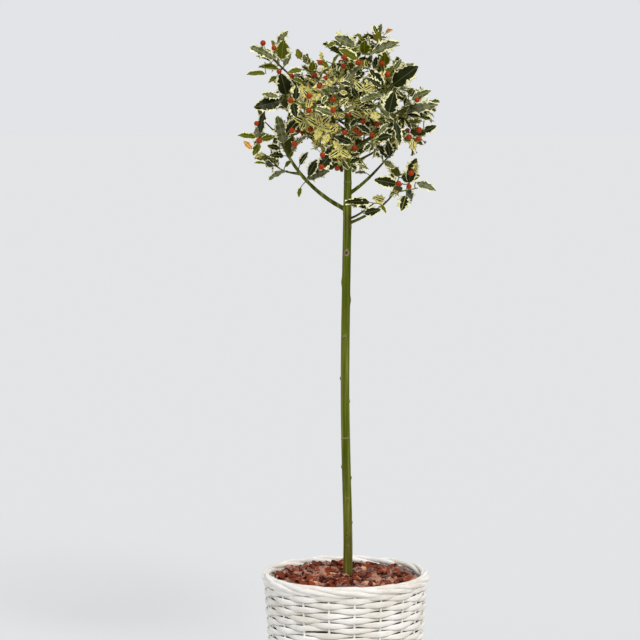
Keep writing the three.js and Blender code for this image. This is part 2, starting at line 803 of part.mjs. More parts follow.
// A leaf's faces above and below, and the edges between them
function bladeParts(leaf) {
  const { rib, edge } = leaf.shape;
  const tip = edge[leafSide.length];
  const outline = [leaf.root, ...edge];
  const faces = [];
  const edges = [];
  outline.forEach((from, number) => {
    const to = outline[(number + 1) % outline.length];
    edges.push({ from, to }, { from, to: rib });
    faces.push(new THREE.Triangle(rib, from, to));
    if (from !== tip && to !== tip) {
      edges.push({ from, to: tip });
      faces.push(new THREE.Triangle(tip, from, to));
    }
  });
  return { faces, edges };
}

function edgeHitsFace(edge, face) {
  const along = edge.to.clone().sub(edge.from);
  const length = along.length();
  const ray = new THREE.Ray(edge.from, along.normalize());
  const hit = ray.intersectTriangle(face.a, face.b, face.c, false, new THREE.Vector3());
  return hit !== null && hit.distanceTo(edge.from) <= length;
}

function leavesCross(first, second) {
  if (first.shape.rib.distanceTo(second.shape.rib) > leafReachShare * (first.length + second.length)) {
    return false;
  }
  const hits = (one, other) => one.parts.edges.some((edge) => {
    return other.parts.faces.some((face) => edgeHitsFace(edge, face));
  });
  return hits(first, second) || hits(second, first);
}

function leafClearOf(leaf, segment, room) {
  const reach = segment.radius + room;
  if (distanceToSegment(leaf.shape.rib, segment) > reach + leaf.length) {
    return true;
  }
  return leaf.parts.edges.every((edge) => segmentsApart(edge, segment) > reach)
    && !leaf.parts.faces.some((face) => edgeHitsFace(segment, face));
}

// A direction that leans away from an axis by an angle, turned round the axis by another
function leaningFrom(axis, lean, turn) {
  const helper = Math.abs(axis.z) > 0.9 ? new THREE.Vector3(1, 0, 0) : new THREE.Vector3(0, 0, 1);
  const across = axis.clone().cross(helper).normalize();
  return leaning(axis, across, lean, turn);
}

function leaning(axis, outward, lean, swing) {
  const sideways = axis.clone().cross(outward);
  return axis.clone().multiplyScalar(Math.cos(lean))
    .addScaledVector(outward, Math.sin(lean) * Math.cos(swing))
    .addScaledVector(sideways, Math.sin(lean) * Math.sin(swing))
    .normalize();
}

// Where a face of a twig looks: its middle, the twig's axis there and the way out from the axis
function faceView(twig, ring, side) {
  const root = middleOf(faceLoop(twig, ring, side));
  const axis = twig.rings[ring].along;
  const outward = root.clone().sub(twig.rings[ring].centre);
  outward.addScaledVector(axis, -outward.dot(axis));
  const atTip = ring === twig.rings.length - 1;
  return { root, axis, outward: atTip ? leaningFrom(axis, Math.PI / 2, 0) : outward.normalize() };
}

// Tries a leaf at one face of a twig until it stays in the mass's space and clear of what grew before
function tryLeaf(grown, twig, ring, side, leanDegrees) {
  const { mass, random } = grown;
  const { root, axis, outward } = faceView(twig, ring, side);
  for (let attempt = 0; attempt < leafTries; attempt += 1) {
    const lean = THREE.MathUtils.degToRad(between(random, ...leanDegrees));
    const swing = between(random, -leafSwing, leafSwing) * (1 + leafSwingGrowth * attempt);
    const along = leaning(axis, outward, lean, swing);
    const spread = () => between(random, -leafFacing.random, leafFacing.random);
    const up = new THREE.Vector3(spread(), spread(), leafFacing.up);
    up.addScaledVector(root.clone().sub(crownMiddle).normalize(), leafFacing.outward);
    up.addScaledVector(along, -up.dot(along)).normalize();
    const length = mass.leaf * between(random, ...leafLengthShares) * (1 - leafShortening * attempt);
    const leaf = { ring, side, root, along, up, length };
    leaf.shape = leafShape(leaf);
    leaf.parts = bladeParts(leaf);
    const inside = [...leaf.shape.edge, leaf.shape.rib].every((spot) => inSpace(spot, mass));
    if (inside
      && grown.limbSegments.every((limb) => leafClearOf(leaf, limb, limbRoom))
      && grown.twigSegments.every((part) => part.twig === twig || leafClearOf(leaf, part, twigRoom))
      && !grown.leaves.some((other) => leavesCross(leaf, other))) {
      grown.leaves.push(leaf);
      twig.growths.push(leaf);
      return true;
    }
  }
  return false;
}

// Tries a shoot at one face of the stem until it stays in the space, clear of limbs and other shoots
function tryShoot(grown, ring, side) {
  const { mass, random, stem } = grown;
  const { root, axis, outward } = faceView(stem, ring, side);
  for (let attempt = 0; attempt < shootTries; attempt += 1) {
    const lean = THREE.MathUtils.degToRad(between(random, ...shootLeanDegrees));
    const along = leaning(axis, outward, lean, between(random, -shootSwing, shootSwing));
    along.z += shootLift;
    const share = between(random, ...shootLengthShares) * (1 - shootShortening * attempt);
    const to = root.clone().addScaledVector(along.normalize(), mass.radius * share);
    const outer = { from: root.clone().lerp(to, shootBareShare), to, radius: shootTipRadius };
    const clear = (part, room) => segmentsApart(outer, part) > part.radius + outer.radius + room;
    if ([outer.from, to].every((spot) => inSpace(spot, mass))
      && grown.limbSegments.every((limb) => clear(limb, limbRoom))
      && grown.twigSegments.every((part) => clear(part, 2 * twigRoom))) {
      const loop = faceLoop(stem, ring, side);
      const footRadius = loop[0].distanceTo(loop[2]) / 2;
      const shoot = {
        ring,
        side,
        loop,
        across: loop[0].clone().sub(root),
        curve: new THREE.LineCurve3(root, to),
        bareShares: [],
        whorls: shootWhorls,
        firstWhorlShare: shootFirstWhorlShare,
        footRadius: Math.min(footRadius, shootFootRadius),
        tipRadius: shootTipRadius,
        growths: [],
      };
      shoot.rings = twigRings(shoot);
      stem.growths.push(shoot);
      grown.shoots.push(shoot);
      grown.twigSegments.push({ from: root, to, radius: shoot.footRadius, twig: shoot });
      return true;
    }
  }
  return false;
}

function dressTwig(grown, twig, firstWhorl) {
  tryLeaf(grown, twig, twig.rings.length - 1, 0, tipLeafLeanDegrees);
  for (let whorl = twig.whorls - 1; whorl >= firstWhorl; whorl -= 1) {
    for (const side of leafSides) {
      tryLeaf(grown, twig, firstWhorlRing(twig) + 2 * whorl, side, leafLeanDegrees);
    }
  }
}

// A berry sits on one side of a shoot between its whorls
function berrySpot(shoot, side) {
  const ring = firstWhorlRing(shoot) + 1;
  const { root, axis, outward } = faceView(shoot, ring, side);
  const middle = root.clone().addScaledVector(outward, berryRadius * berrySunk - shoot.tipRadius);
  return middle.addScaledVector(axis, -berryRadius / 4);
}

function berryFits(grown, middle) {
  const room = berryRadius + berryRoom;
  const poles = [[1, 0, 0], [-1, 0, 0], [0, 1, 0], [0, -1, 0], [0, 0, 1], [0, 0, -1]];
  const near = new THREE.Vector3();
  return poles.every((pole) => inSpace(middle.clone().addScaledVector(point(pole), room), grown.mass))
    && grown.limbSegments.every((limb) => distanceToSegment(middle, limb) > limb.radius + room)
    && grown.leaves.every((leaf) => leaf.parts.faces.every((face) => {
      return face.closestPointToPoint(middle, near).distanceTo(middle) > room;
    }));
}

function tryBerry(grown, shoot) {
  const sides = [...Array(twigSides).keys()];
  const middle = sides.map((side) => berrySpot(shoot, side)).find((spot) => berryFits(grown, spot));
  if (middle) {
    grown.berries.push(middle);
  }
}

// Twigs, leaves and berries of one mass, by a seeded rule
function growMass(mass, limbs, limbSegments) {
  const curve = stemCurve(mass, limbs);
  const stem = {
    curve,
    across: leaningFrom(curve.getTangent(0), Math.PI / 2, mass.seed),
    bareShares: [0, ...stemBareShares],
    whorls: mass.shootWhorls + stemLeafWhorls,
    firstWhorlShare: stemFirstWhorlShare,
    footRadius: stemFootRadius(mass, limbs),
    tipRadius: stemTipRadius,
    growths: [],
  };
  stem.rings = twigRings(stem);
  const ownSegments = curveSegments(curve, stemPieces, () => stemRoomRadius);
  const twigSegments = ownSegments.map((part) => ({ ...part, twig: stem }));
  const random = seededRandom(mass.seed);
  const grown = { mass, random, limbSegments, stem, twigSegments, shoots: [], leaves: [], berries: [] };
  for (let whorl = 0; whorl < mass.shootWhorls; whorl += 1) {
    for (const side of shootSides) {
      const ring = firstWhorlRing(stem) + 2 * whorl;
      if (!tryShoot(grown, ring, side)) {
        tryLeaf(grown, stem, ring, side, leafLeanDegrees);
      }
    }
  }
  dressTwig(grown, stem, mass.shootWhorls);
  for (const shoot of grown.shoots) {
    dressTwig(grown, shoot, 0);
  }
  grown.shoots = grown.shoots.filter((shoot) => shoot.growths.length > 0);
  stem.growths = stem.growths.filter((growth) => !growth.growths || growth.growths.length > 0);
  for (const shoot of grown.shoots) {
    if (grown.berries.length < mass.berries) {
      tryBerry(grown, shoot);
    }
  }
  return grown;
}

function stemFootRadius(mass, limbs) {
  if (mass.limb === 'trunk') {
    return trunkStemRadius;
  }
  return mass.limb === 'trunk_tip' ? trunkTipRadius : limbs[mass.limb].thin;
}

function massSolid(grown, trunkSleeve) {
  const pieces = [toSolid(stemGeometry(grown.stem))];
  for (const middle of grown.berries) {
    const ball = new THREE.IcosahedronGeometry(berryRadius, 0);
    pieces.push(toSolid(ball.translate(middle.x, middle.y, middle.z)));
  }
  const fused = wasm.Manifold.union(pieces);
  return mainBody(grown.mass.limb === 'trunk' ? fused.subtract(trunkSleeve) : fused);
}

function curveSegments(curve, count, radiusAt) {
  const points = curve.getPoints(count);
  return points.slice(1).map((to, index) => {
    return { from: points[index], to, radius: radiusAt(index / count) };
  });
}

// The curve and sleeve of every bough, and the straight pieces that foliage keeps clear of
function layOutLimbs(trunkSleeve) {
  const limbs = {};
  const footHeight = trunkBends[0][2];
  const trunkSpan = trunkTipHeight - footHeight;
  const radiusUp = (share) => trunkRadius(footHeight + share * trunkSpan);
  const segments = curveSegments(trunkCurve, trunkPieces, radiusUp);
  for (const bough of boughs) {
    const curve = boughCurve(bough, limbs);
    const points = curve.getPoints(boughRings - 1);
    const radius = taper(bough.thick, bough.thin, boughRings);
    const parentSleeve = bough.parent ? limbs[bough.parent].sleeve : trunkSleeve;
    const sleeve = toSolid(tube(points, (ring) => radius(ring) + gap, boughSides));
    limbs[bough.name] = { curve, points, radius, thin: bough.thin, parentSleeve, sleeve };
    segments.push(...curveSegments(curve, boughPieces, () => bough.thick));
  }
  return { limbs, segments };
}

function boughSolid(limb) {
  return mainBody(toSolid(tube(limb.points, limb.radius, boughSides)).subtract(limb.parentSleeve));
}

// Grows every mass, keeping each clear of the limbs and of the stems of all the others
function growCrown(limbs, segments) {
  findNeighbours();
  const stems = masses.map((mass) => {
    return curveSegments(stemCurve(mass, limbs), stemPieces, () => trunkStemRadius);
  });
  return masses.map((mass, index) => {
    const others = stems.filter((stem, number) => number !== index).flat();
    return growMass(mass, limbs, [...segments, ...others]);
  });
}

function buildPlant() {
  const plant = new THREE.Group();
  const trunkSleeve = toSolid(trunkTube(gap));
  const basket = new THREE.Group();
  basket.add(namedMesh('basket_base', basketBase(), willow));
  basket.add(namedMesh('basket_wall', basketWall(), willow));
  basket.add(namedMesh('basket_border', basketBorder(), willow));
  basket.add(namedMesh('root_ball', rootBall(), soil));
  basket.add(namedMesh('bark_mulch', toGeometry(barkMulch(trunkSleeve)), barkChips));
  plant.add(basket);

  const { limbs, segments } = layOutLimbs(trunkSleeve);
  const frame = new THREE.Group();
  frame.add(namedMesh('trunk', trunkTube(0), youngBark));
  for (const bough of boughs) {
    frame.add(namedMesh(bough.name, toGeometry(boughSolid(limbs[bough.name])), youngBark));
  }
  plant.add(frame);

  const crown = new THREE.Group();
  for (const grown of growCrown(limbs, segments)) {
    crown.add(namedMesh(grown.mass.name, toGeometry(massSolid(grown, trunkSleeve)), hollyLeaf));
  }
  plant.add(crown);
  return plant;
}

const plant = buildPlant();
export default plant;
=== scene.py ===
import json
import math

import bpy
import numpy as np
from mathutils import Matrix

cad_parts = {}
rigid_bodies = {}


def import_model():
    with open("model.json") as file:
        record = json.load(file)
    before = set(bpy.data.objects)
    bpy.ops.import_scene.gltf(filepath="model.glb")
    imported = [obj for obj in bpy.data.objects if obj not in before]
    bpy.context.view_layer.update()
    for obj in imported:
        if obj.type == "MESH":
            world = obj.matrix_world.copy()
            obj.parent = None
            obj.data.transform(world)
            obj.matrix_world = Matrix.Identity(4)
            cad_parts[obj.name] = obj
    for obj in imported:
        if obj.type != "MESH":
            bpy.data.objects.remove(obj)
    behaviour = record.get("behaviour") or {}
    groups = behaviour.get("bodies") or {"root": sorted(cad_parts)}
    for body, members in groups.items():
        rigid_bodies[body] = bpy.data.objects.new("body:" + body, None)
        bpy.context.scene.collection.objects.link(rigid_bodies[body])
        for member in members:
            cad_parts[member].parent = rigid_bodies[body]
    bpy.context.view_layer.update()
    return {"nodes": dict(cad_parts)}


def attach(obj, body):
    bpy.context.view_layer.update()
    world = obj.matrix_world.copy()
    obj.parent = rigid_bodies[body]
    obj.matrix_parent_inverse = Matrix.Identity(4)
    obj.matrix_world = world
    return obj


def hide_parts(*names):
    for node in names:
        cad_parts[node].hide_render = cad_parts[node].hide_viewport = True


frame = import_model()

# A half-standard variegated holly in a white-painted willow basket. Metres, +Z up, as the frame.
# Sizes are written in millimetres and scaled by mm.
mm = 0.001
goldenAngle = 2.39996
up = np.array((0.0, 0.0, 1.0))
norm = np.linalg.norm


# Random numbers, directions and curves, as in the part's own rule of growth

def seededRandom(seed):
    seedStep, factor, modulus = 7919, 48271, 2147483647
    state = seed * seedStep % modulus

    def draw():
        nonlocal state
        state = state * factor % modulus
        return state / modulus

    return draw


def between(draw, low, high):
    return low + (high - low) * draw()


def vector(triple):
    return np.array(triple, dtype=float)


def unit(spot):
    return spot / norm(spot)


def unitRows(rows):
    return rows / norm(rows, axis=-1, keepdims=True)


def squared(direction, axis):
    return unit(direction - axis * np.dot(direction, axis))


def leaning(axis, outward, lean, swing):
    sideways = np.cross(axis, outward)
    spread = math.cos(swing) * outward + math.sin(swing) * sideways
    return unit(math.cos(lean) * axis + math.sin(lean) * spread)


def leaningFrom(axis, lean, turn):
    nearlyUpright = abs(axis[2]) > 0.9
    helper = vector((1, 0, 0)) if nearlyUpright else up
    return leaning(axis, unit(np.cross(axis, helper)), lean, turn)


class Curve:
    tangentStep = 1e-4
    lengthPieces = 200

    def __init__(self, pointAt):
        self.point = pointAt

    def tangent(self, share):
        low = max(share - self.tangentStep, 0)
        high = min(share + self.tangentStep, 1)
        return unit(self.point(high) - self.point(low))

    def at(self, shares):
        return [self.point(share) for share in shares]

    def points(self, count):
        return self.at(number / count for number in range(count + 1))

    def length(self):
        spots = np.array(self.points(self.lengthPieces))
        return norm(np.diff(spots, axis=0), axis=1).sum()


def bentCurve(start, bend, end):
    def pointAt(share):
        rest = 1 - share
        return rest * rest * start + 2 * rest * share * bend + share * share * end

    return Curve(pointAt)


def straightCurve(start, end):
    return Curve(lambda share: start + share * (end - start))


def smoothCurve(bends):
    spots = [vector(bend) for bend in bends]
    spots = [2 * spots[0] - spots[1], *spots, 2 * spots[-1] - spots[-2]]

    def pointAt(share):
        place = share * (len(spots) - 3)
        piece = min(int(place), len(spots) - 4)
        weight = place - piece
        before, start, end, after = spots[piece:piece + 4]
        gaps = [norm(b - a) ** 0.5 for a, b in ((before, start), (start, end), (end, after))]
        leave = (start - before) / gaps[0] - (end - before) / (gaps[0] + gaps[1]) + (end - start) / gaps[1]
        reach = (end - start) / gaps[1] - (after - start) / (gaps[1] + gaps[2]) + (after - end) / gaps[2]
        leave = leave * gaps[1]
        reach = reach * gaps[1]
        square = -3 * start + 3 * end - 2 * leave - reach
        cube = 2 * start - 2 * end + leave + reach
        return start + weight * leave + weight ** 2 * square + weight ** 3 * cube

    return Curve(pointAt)


# Meshes collected as rows of corners and four- or three-sided faces, each face with a material slot

class Shape:
    def __init__(self):
        self.corners = []
        self.faces = []
        self.slots = []
        self.count = 0

    def add(self, corners, faces, slots=0):
        self.first = self.count
        self.corners.append(np.asarray(corners, dtype=float))
        self.count += len(corners)
        self.addFaces(faces, slots)

    # More faces between the corners added last
    def addFaces(self, faces, slots=0):
        self.faces.append(np.asarray(faces) + self.first)
        self.slots.append(np.broadcast_to(slots, len(faces)))


def gridFaces(rows, columns, closed=False):
    across = columns if closed else columns - 1
    row, column = np.meshgrid(np.arange(rows - 1), np.arange(across), indexing="ij")
    beside = (column + 1) % columns
    low = row * columns
    high = low + columns
    return np.stack((low + column, low + beside, high + beside, high + column), axis=-1).reshape(-1, 4)


def capFaces(sides, first, middle):
    side = np.arange(sides)
    return np.stack((first + side, first + (side + 1) % sides, np.full(sides, middle)), axis=-1)


# Where a tube's first ring starts: a direction that no tube here runs along
tubeAcross = vector((0.31, -0.95, 0.05))


def addTube(shape, spots, radii, sides, slot=0, start=None, shapeAt=None):
    spots = np.asarray(spots, dtype=float)
    radii = np.broadcast_to(radii, len(spots))
    across = tubeAcross if start is None else start
    angles = 2 * np.pi * np.arange(sides) / sides
    corners = []
    for number, spot in enumerate(spots):
        along = unit(spots[min(number + 1, len(spots) - 1)] - spots[max(number - 1, 0)])
        across = squared(across, along)
        third = np.cross(along, across)
        radius = radii[number] if shapeAt is None else radii[number] + shapeAt(number, angles)
        ring = np.cos(angles)[:, None] * across + np.sin(angles)[:, None] * third
        corners.append(spot + ring * np.reshape(radius, (-1, 1)))
    last = len(spots) - 1
    corners = np.concatenate((*corners, spots[[0, last]]))
    shape.add(corners, gridFaces(len(spots), sides, closed=True), slot)
    shape.addFaces(capFaces(sides, 0, len(corners) - 2)[:, ::-1], slot)
    shape.addFaces(capFaces(sides, last * sides, len(corners) - 1), slot)


def addObject(name, data):
    thing = bpy.data.objects.new(name, data)
    bpy.context.scene.collection.objects.link(thing)
    return thing


def makePiece(name, shape, materials, nodes, smooth=True):
    corners = np.concatenate(shape.corners) * mm
    sizes = np.concatenate([np.full(len(faces), faces.shape[1]) for faces in shape.faces])
    loops = np.concatenate([faces.ravel() for faces in shape.faces])
    mesh = bpy.data.meshes.new(name)
    mesh.vertices.add(len(corners))
    mesh.vertices.foreach_set("co", corners.ravel())
    mesh.loops.add(len(loops))
    mesh.loops.foreach_set("vertex_index", loops)
    mesh.polygons.add(len(sizes))
    mesh.polygons.foreach_set("loop_start", np.concatenate(([0], np.cumsum(sizes)[:-1])))
    mesh.polygons.foreach_set("material_index", np.concatenate(shape.slots))
    mesh.polygons.foreach_set("use_smooth", np.full(len(sizes), smooth))
    for material in materials:
        mesh.materials.append(material)
    mesh.update(calc_edges=True)
    mesh.validate()
    piece = addObject(name, mesh)
    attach(piece, "root")
    if nodes:
        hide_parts(*nodes)
    print(f"{name}: {int((sizes - 2).sum())} triangles")


# Materials

# A colour written as sRGB hex, as the linear red, green, blue and alpha that the shaders take
def linear(hexColour):
    values = [int(hexColour[place:place + 2], 16) / 255 for place in (1, 3, 5)]
    parts = [value / 12.92 if value <= 0.04045 else ((value + 0.055) / 1.055) ** 2.4 for value in values]
    return (*parts, 1)


def addNode(tree, kind, inputs=None, **settings):
    node = tree.nodes.new(kind)
    for name, value in settings.items():
        setattr(node, name, value)
    for name, value in (inputs or {}).items():
        if isinstance(value, bpy.types.NodeSocket):
            tree.links.new(value, node.inputs[name])
        else:
            node.inputs[name].default_value = value
    return node


def newMaterial(name, colour, roughness, ior=1.45):
    material = bpy.data.materials.new(name)
    material.use_nodes = True
    shader = material.node_tree.nodes["Principled BSDF"]
    shader.inputs["Base Color"].default_value = linear(colour)
    shader.inputs["Roughness"].default_value = roughness
    shader.inputs["IOR"].default_value = ior
    material.diffuse_color = linear(colour)
    return material, material.node_tree, shader


def noise(tree, scale, stretch=(1, 1, 1), detail=3.0, roughness=0.55):
    place = addNode(tree, "ShaderNodeTexCoord")
    stretched = addNode(tree, "ShaderNodeMapping", {"Vector": place.outputs["Object"], "Scale": stretch})
    return addNode(tree, "ShaderNodeTexNoise", {
        "Vector": stretched.outputs["Vector"], "Scale": scale, "Detail": detail, "Roughness": roughness,
    }).outputs["Fac"]


def ramp(tree, value, stops):
    node = addNode(tree, "ShaderNodeValToRGB", {"Fac": value})
    elements = node.color_ramp.elements
    while len(elements) < len(stops):
        elements.new(0.5)
    for element, (place, colour) in zip(elements, stops):
        element.position = place
        element.color = linear(colour)
    return node.outputs["Color"]


# A Mix node has its share and its two colours at inputs 0, 6 and 7, and the mixed colour at output 2
def blend(tree, share, first, second, way="MIX"):
    node = addNode(tree, "ShaderNodeMix", {0: share, 6: first, 7: second}, data_type="RGBA", blend_type=way)
    return node.outputs[2]


def addBump(tree, shader, height, distance, strength=1.0):
    bump = addNode(tree, "ShaderNodeBump", {"Height": height, "Distance": distance, "Strength": strength})
    tree.links.new(bump.outputs["Normal"], shader.inputs["Normal"])


def spread(tree, value, low, high):
    return mapped(tree, value, {"To Min": low, "To Max": high})


# A value carried over from one range to another
def mapped(tree, value, inputs):
    return addNode(tree, "ShaderNodeMapRange", {"Value": value, **inputs}).outputs["Result"]


# Materials of one plain colour each, with the same fine grain
def grained(colours, roughness, grain, bump, ior=1.45):
    materials = []
    for name, colour in colours.items():
        material, tree, shader = newMaterial(name, colour, roughness, ior)
        addBump(tree, shader, noise(tree, **grain), **bump)
        materials.append(material)
    return materials


# Camera, floor and light: a long lens far back, as the photograph's, under a pale soft sky

cameraValues = {
    "spot": (-0.0464, -4.465, 1.194),
    "pitchDegrees": 5.78,
    "focalPixels": 2513,
    "framePixels": 640,
    "sensorWidth": 36,
}


# Where spots show in the picture, in its pixels across and down
def projected(spots):
    pitch = math.radians(cameraValues["pitchDegrees"])
    away = np.asarray(spots) * mm - np.array(cameraValues["spot"])
    depth = away[..., 1] * math.cos(pitch) - away[..., 2] * math.sin(pitch)
    rise = away[..., 1] * math.sin(pitch) + away[..., 2] * math.cos(pitch)
    middle = cameraValues["framePixels"] / 2
    scale = cameraValues["focalPixels"] / depth
    return np.stack((middle + scale * away[..., 0], middle - scale * rise), axis=-1)


# The spot that shows at a pixel and lies on the plane y = deep
def unprojected(across, down, deep):
    pitch = math.radians(cameraValues["pitchDegrees"])
    middle = cameraValues["framePixels"] / 2
    right = (across - middle) / cameraValues["focalPixels"]
    rise = (middle - down) / cameraValues["focalPixels"]
    ray = vector((right, math.cos(pitch) + rise * math.sin(pitch), rise * math.cos(pitch) - math.sin(pitch)))
    start = vector(cameraValues["spot"]) / mm
    return start + ray * (deep - start[1]) / ray[1]


def makeCamera():
    data = bpy.data.cameras.new("camera")
    data.sensor_width = cameraValues["sensorWidth"]
    data.lens = cameraValues["focalPixels"] * cameraValues["sensorWidth"] / cameraValues["framePixels"]
    data.dof.use_dof = False
    camera = addObject("camera", data)
    camera.location = cameraValues["spot"]
    camera.rotation_euler = (math.radians(90 - cameraValues["pitchDegrees"]), 0, 0)
    bpy.context.scene.camera = camera


# The floor takes as much light from the sun and sky as makes it as bright as the sky, so the horizon
# doesn't show
lightValues = {
    "skyColour": "#e2e4e7",
    "floorColour": "#dadada",
    "floorSize": 80,
    "sunStrength": 1.61,
    "sunAngleDegrees": 20,
    "sunFrom": (0.5, -1.05, 1.0),
}


def makeSetting():
    values = lightValues
    world = bpy.data.worlds.new("sky")
    world.use_nodes = True
    background = world.node_tree.nodes["Background"]
    background.inputs["Color"].default_value = linear(values["skyColour"])
    background.inputs["Strength"].default_value = 1
    bpy.context.scene.world = world
    half = values["floorSize"] / 2
    mesh = bpy.data.meshes.new("floor")
    corners = [(-half, -half, 0), (half, -half, 0), (half, half, 0), (-half, half, 0)]
    mesh.from_pydata(corners, [], [range(4)])
    floor = addObject("floor", mesh)
    # smooth pale concrete
    material, tree, shader = newMaterial("floor_concrete", values["floorColour"], 1)
    shader.inputs["Specular IOR Level"].default_value = 0
    mesh.materials.append(material)
    data = bpy.data.lights.new("sun", "SUN")
    data.energy = values["sunStrength"]
    data.angle = math.radians(values["sunAngleDegrees"])
    sun = addObject("sun", data)
    across, near, high = values["sunFrom"]
    sun.rotation_euler = (math.atan2(math.hypot(across, near), high), 0, math.atan2(across, -near))
    bpy.context.scene.view_settings.view_transform = "Standard"


makeCamera()
makeSetting()
print("camera, floor and light made")


# Basket: one willow weaver wound up round an odd number of stakes, a plaited border, a foot and a
# woven base

# The ways in which the rods wander are each an amount, a pace round the basket and a seed
basketValues = {
    "footRadius": 128,
    "topRadius": 146,
    "wallTop": 268.7,
    "wallFoot": 9,
    "stakeCount": 19,
    "stakeOffsetDegrees": 5.6,
    "stakeRadius": 2.3,
    "weaverInset": 2.9,
    "rowHeight": 8.85,
    "weaverSwell": 0.3,
    "weaverThickness": 4.6,
    "weaveDepth": 2.8,
    "stepsAStake": 8,
    "weaverSides": 8,
    "weaverTopGap": 2,
    "weaverTilt": 0.07,
    "heightWander": (0.8, 3.1, 3),
    "depthWander": (0.16, 5.3, 5),
    "swellWander": (0.07, 4.7, 7),
    "tiltWander": (0.1, 7.7, 9),
    "stakeFoot": 1.5,
    "stakePastWall": 6,
    "stakeRings": 12,
    "stakeSides": 8,
    "stakeSwingDegrees": 1.6,
    "stakeSeed": 31,
    "slitHeight": 203.3,
    "slitReach": 14,
    "slitFromDegrees": -34,
    "slitToDegrees": 2,
    "slitOpening": 3.8,
    "slitSlopes": (8, 1.14),
    "slitAbove": 0.8,
    "slitBelow": -0.2,
    "slitThinning": 0.2,
    "ropeSteps": 456,
    "ropeSides": 10,
    "ropeWander": (0.1, 6.1, 11),
    "strandWander": (0.07, 8.3, 21),
    "strandTilt": 0.4,
    "strandFlatness": 0.92,
    "borderRope": {
        "radius": 143, "height": 277.4, "halfWidth": 4.2, "halfHeight": 5.6, "strandRadius": 4.5,
        "strands": 4, "turns": 13, "crest": 0.7,
    },
    "footRope": {
        "radius": 124.5, "height": 6.2, "halfWidth": 2.2, "halfHeight": 2.4, "strandRadius": 3.6,
        "strands": 3, "turns": 19, "crest": 0,
    },
    "baseInner": 14,
    "baseInset": 9,
    "baseHeight": 5.2,
    "baseWeave": 2,
    "baseHalfWidth": 4.1,
    "baseHalfThickness": 1.9,
    "baseSides": 6,
    "spokePastWeave": 3,
    "spokeRings": 4,
    "spokeRadius": 2.4,
}


def wallRadius(height):
    share = height / basketValues["wallTop"]
    return basketValues["footRadius"] + share * (basketValues["topRadius"] - basketValues["footRadius"])


wanderValues = {
    "waves": (1.0, 2.3, 5.1, 9.7),
    "fading": 0.35,
    "most": 2.6,
}


# Slow wander along a line, from a few sine waves of unrelated lengths
def wander(place, seed):
    draw = seededRandom(seed)
    total = 0
    for wave in wanderValues["waves"]:
        total = total + np.sin(wave * place + 2 * math.pi * draw()) / wave ** wanderValues["fading"]
    return total / wanderValues["most"]


# The wander that a row of the basket's values gives, at angles round it
def wandered(row, angle, furtherSeed=0):
    amount, pace, seed = row
    return amount * wander(pace * angle, seed + furtherSeed)


# An angle round the basket, from the front towards +X, as a direction
def roundBasket(angle):
    return np.stack((np.sin(angle), -np.cos(angle), np.zeros_like(angle)), axis=-1)


# A rod swept along spots, between round and square across: 1 would be round, 0 square
rodRoundness = 0.8


def addRibbon(shape, spots, outward, halfHeights, halfThicknesses, lift, sides):
    angles = 2 * np.pi * (np.arange(sides) + 0.5) / sides
    flat = np.abs(np.cos(angles)) ** rodRoundness * np.sign(np.cos(angles))
    high = np.abs(np.sin(angles)) ** rodRoundness * np.sign(np.sin(angles))
    corners = spots[:, None, :] + outward[:, None, :] * (halfThicknesses[:, None] * flat)[:, :, None]
    corners = corners + lift[:, None, :] * (halfHeights[:, None] * high)[:, :, None]
    shape.add(corners.reshape(-1, 3), gridFaces(len(spots), sides, closed=True))


# Angles of a weaver that winds over a width of weave, row beside row
def windingAngles(width):
    values = basketValues
    steps = int(width / values["rowHeight"] * values["stakeCount"] * values["stepsAStake"])
    return 2 * np.pi * np.arange(steps + 1) / (values["stakeCount"] * values["stepsAStake"])


# How far the weave parts at the slit in its front, and which of its spots are above the slit
def slitPart(angle, height):
    values = basketValues
    degrees = np.degrees((angle + np.pi) % (2 * np.pi) - np.pi)
    inside = (degrees > values["slitFromDegrees"]) & (degrees < values["slitToDegrees"])
    share = (degrees - values["slitFromDegrees"]) / (values["slitToDegrees"] - values["slitFromDegrees"])
    away = height - values["slitHeight"]
    rise, fall = values["slitSlopes"]
    part = np.where(inside, np.minimum(rise * share, fall * (1 - share)), 0)
    return part * np.exp(-(away / values["slitReach"]) ** 2), away > 0


def addWeaver(shape):
    values = basketValues
    angle = windingAngles(values["wallTop"] - values["wallFoot"])
    offset = math.radians(values["stakeOffsetDegrees"])
    height = values["wallFoot"] + values["rowHeight"] * (0.5 + angle / (2 * np.pi))
    highest = values["wallTop"] - values["weaverTopGap"]
    height = np.minimum(height + wandered(values["heightWander"], angle), highest)
    part, above = slitPart(angle, height)
    height = height + part * values["slitOpening"] * np.where(above, values["slitAbove"], values["slitBelow"])
    wave = np.cos(values["stakeCount"] / 2 * (angle - offset))
    depth = values["weaveDepth"] * (1 + wandered(values["depthWander"], angle)) * wave
    radius = wallRadius(height) - values["weaverInset"] + depth
    outward = roundBasket(angle)
    spots = outward * radius[:, None] + up * height[:, None]
    halfHeight = values["rowHeight"] / 2 * (1 + wandered(values["swellWander"], angle))
    halfHeight = halfHeight * (1 + values["weaverSwell"] * wave) - values["slitThinning"] * part
    halfThickness = np.full(len(angle), values["weaverThickness"] / 2)
    tilt = values["weaverTilt"] + wandered(values["tiltWander"], angle)
    lift = unitRows(up + outward * tilt[:, None])
    addRibbon(shape, spots, outward, halfHeight, halfThickness, lift, values["weaverSides"])


def stakeAngle(number):
    values = basketValues
    draw = seededRandom(number + values["stakeSeed"])
    swing = values["stakeSwingDegrees"]
    return math.radians(values["stakeOffsetDegrees"] + between(draw, -swing, swing)) \
        + 2 * math.pi * number / values["stakeCount"]


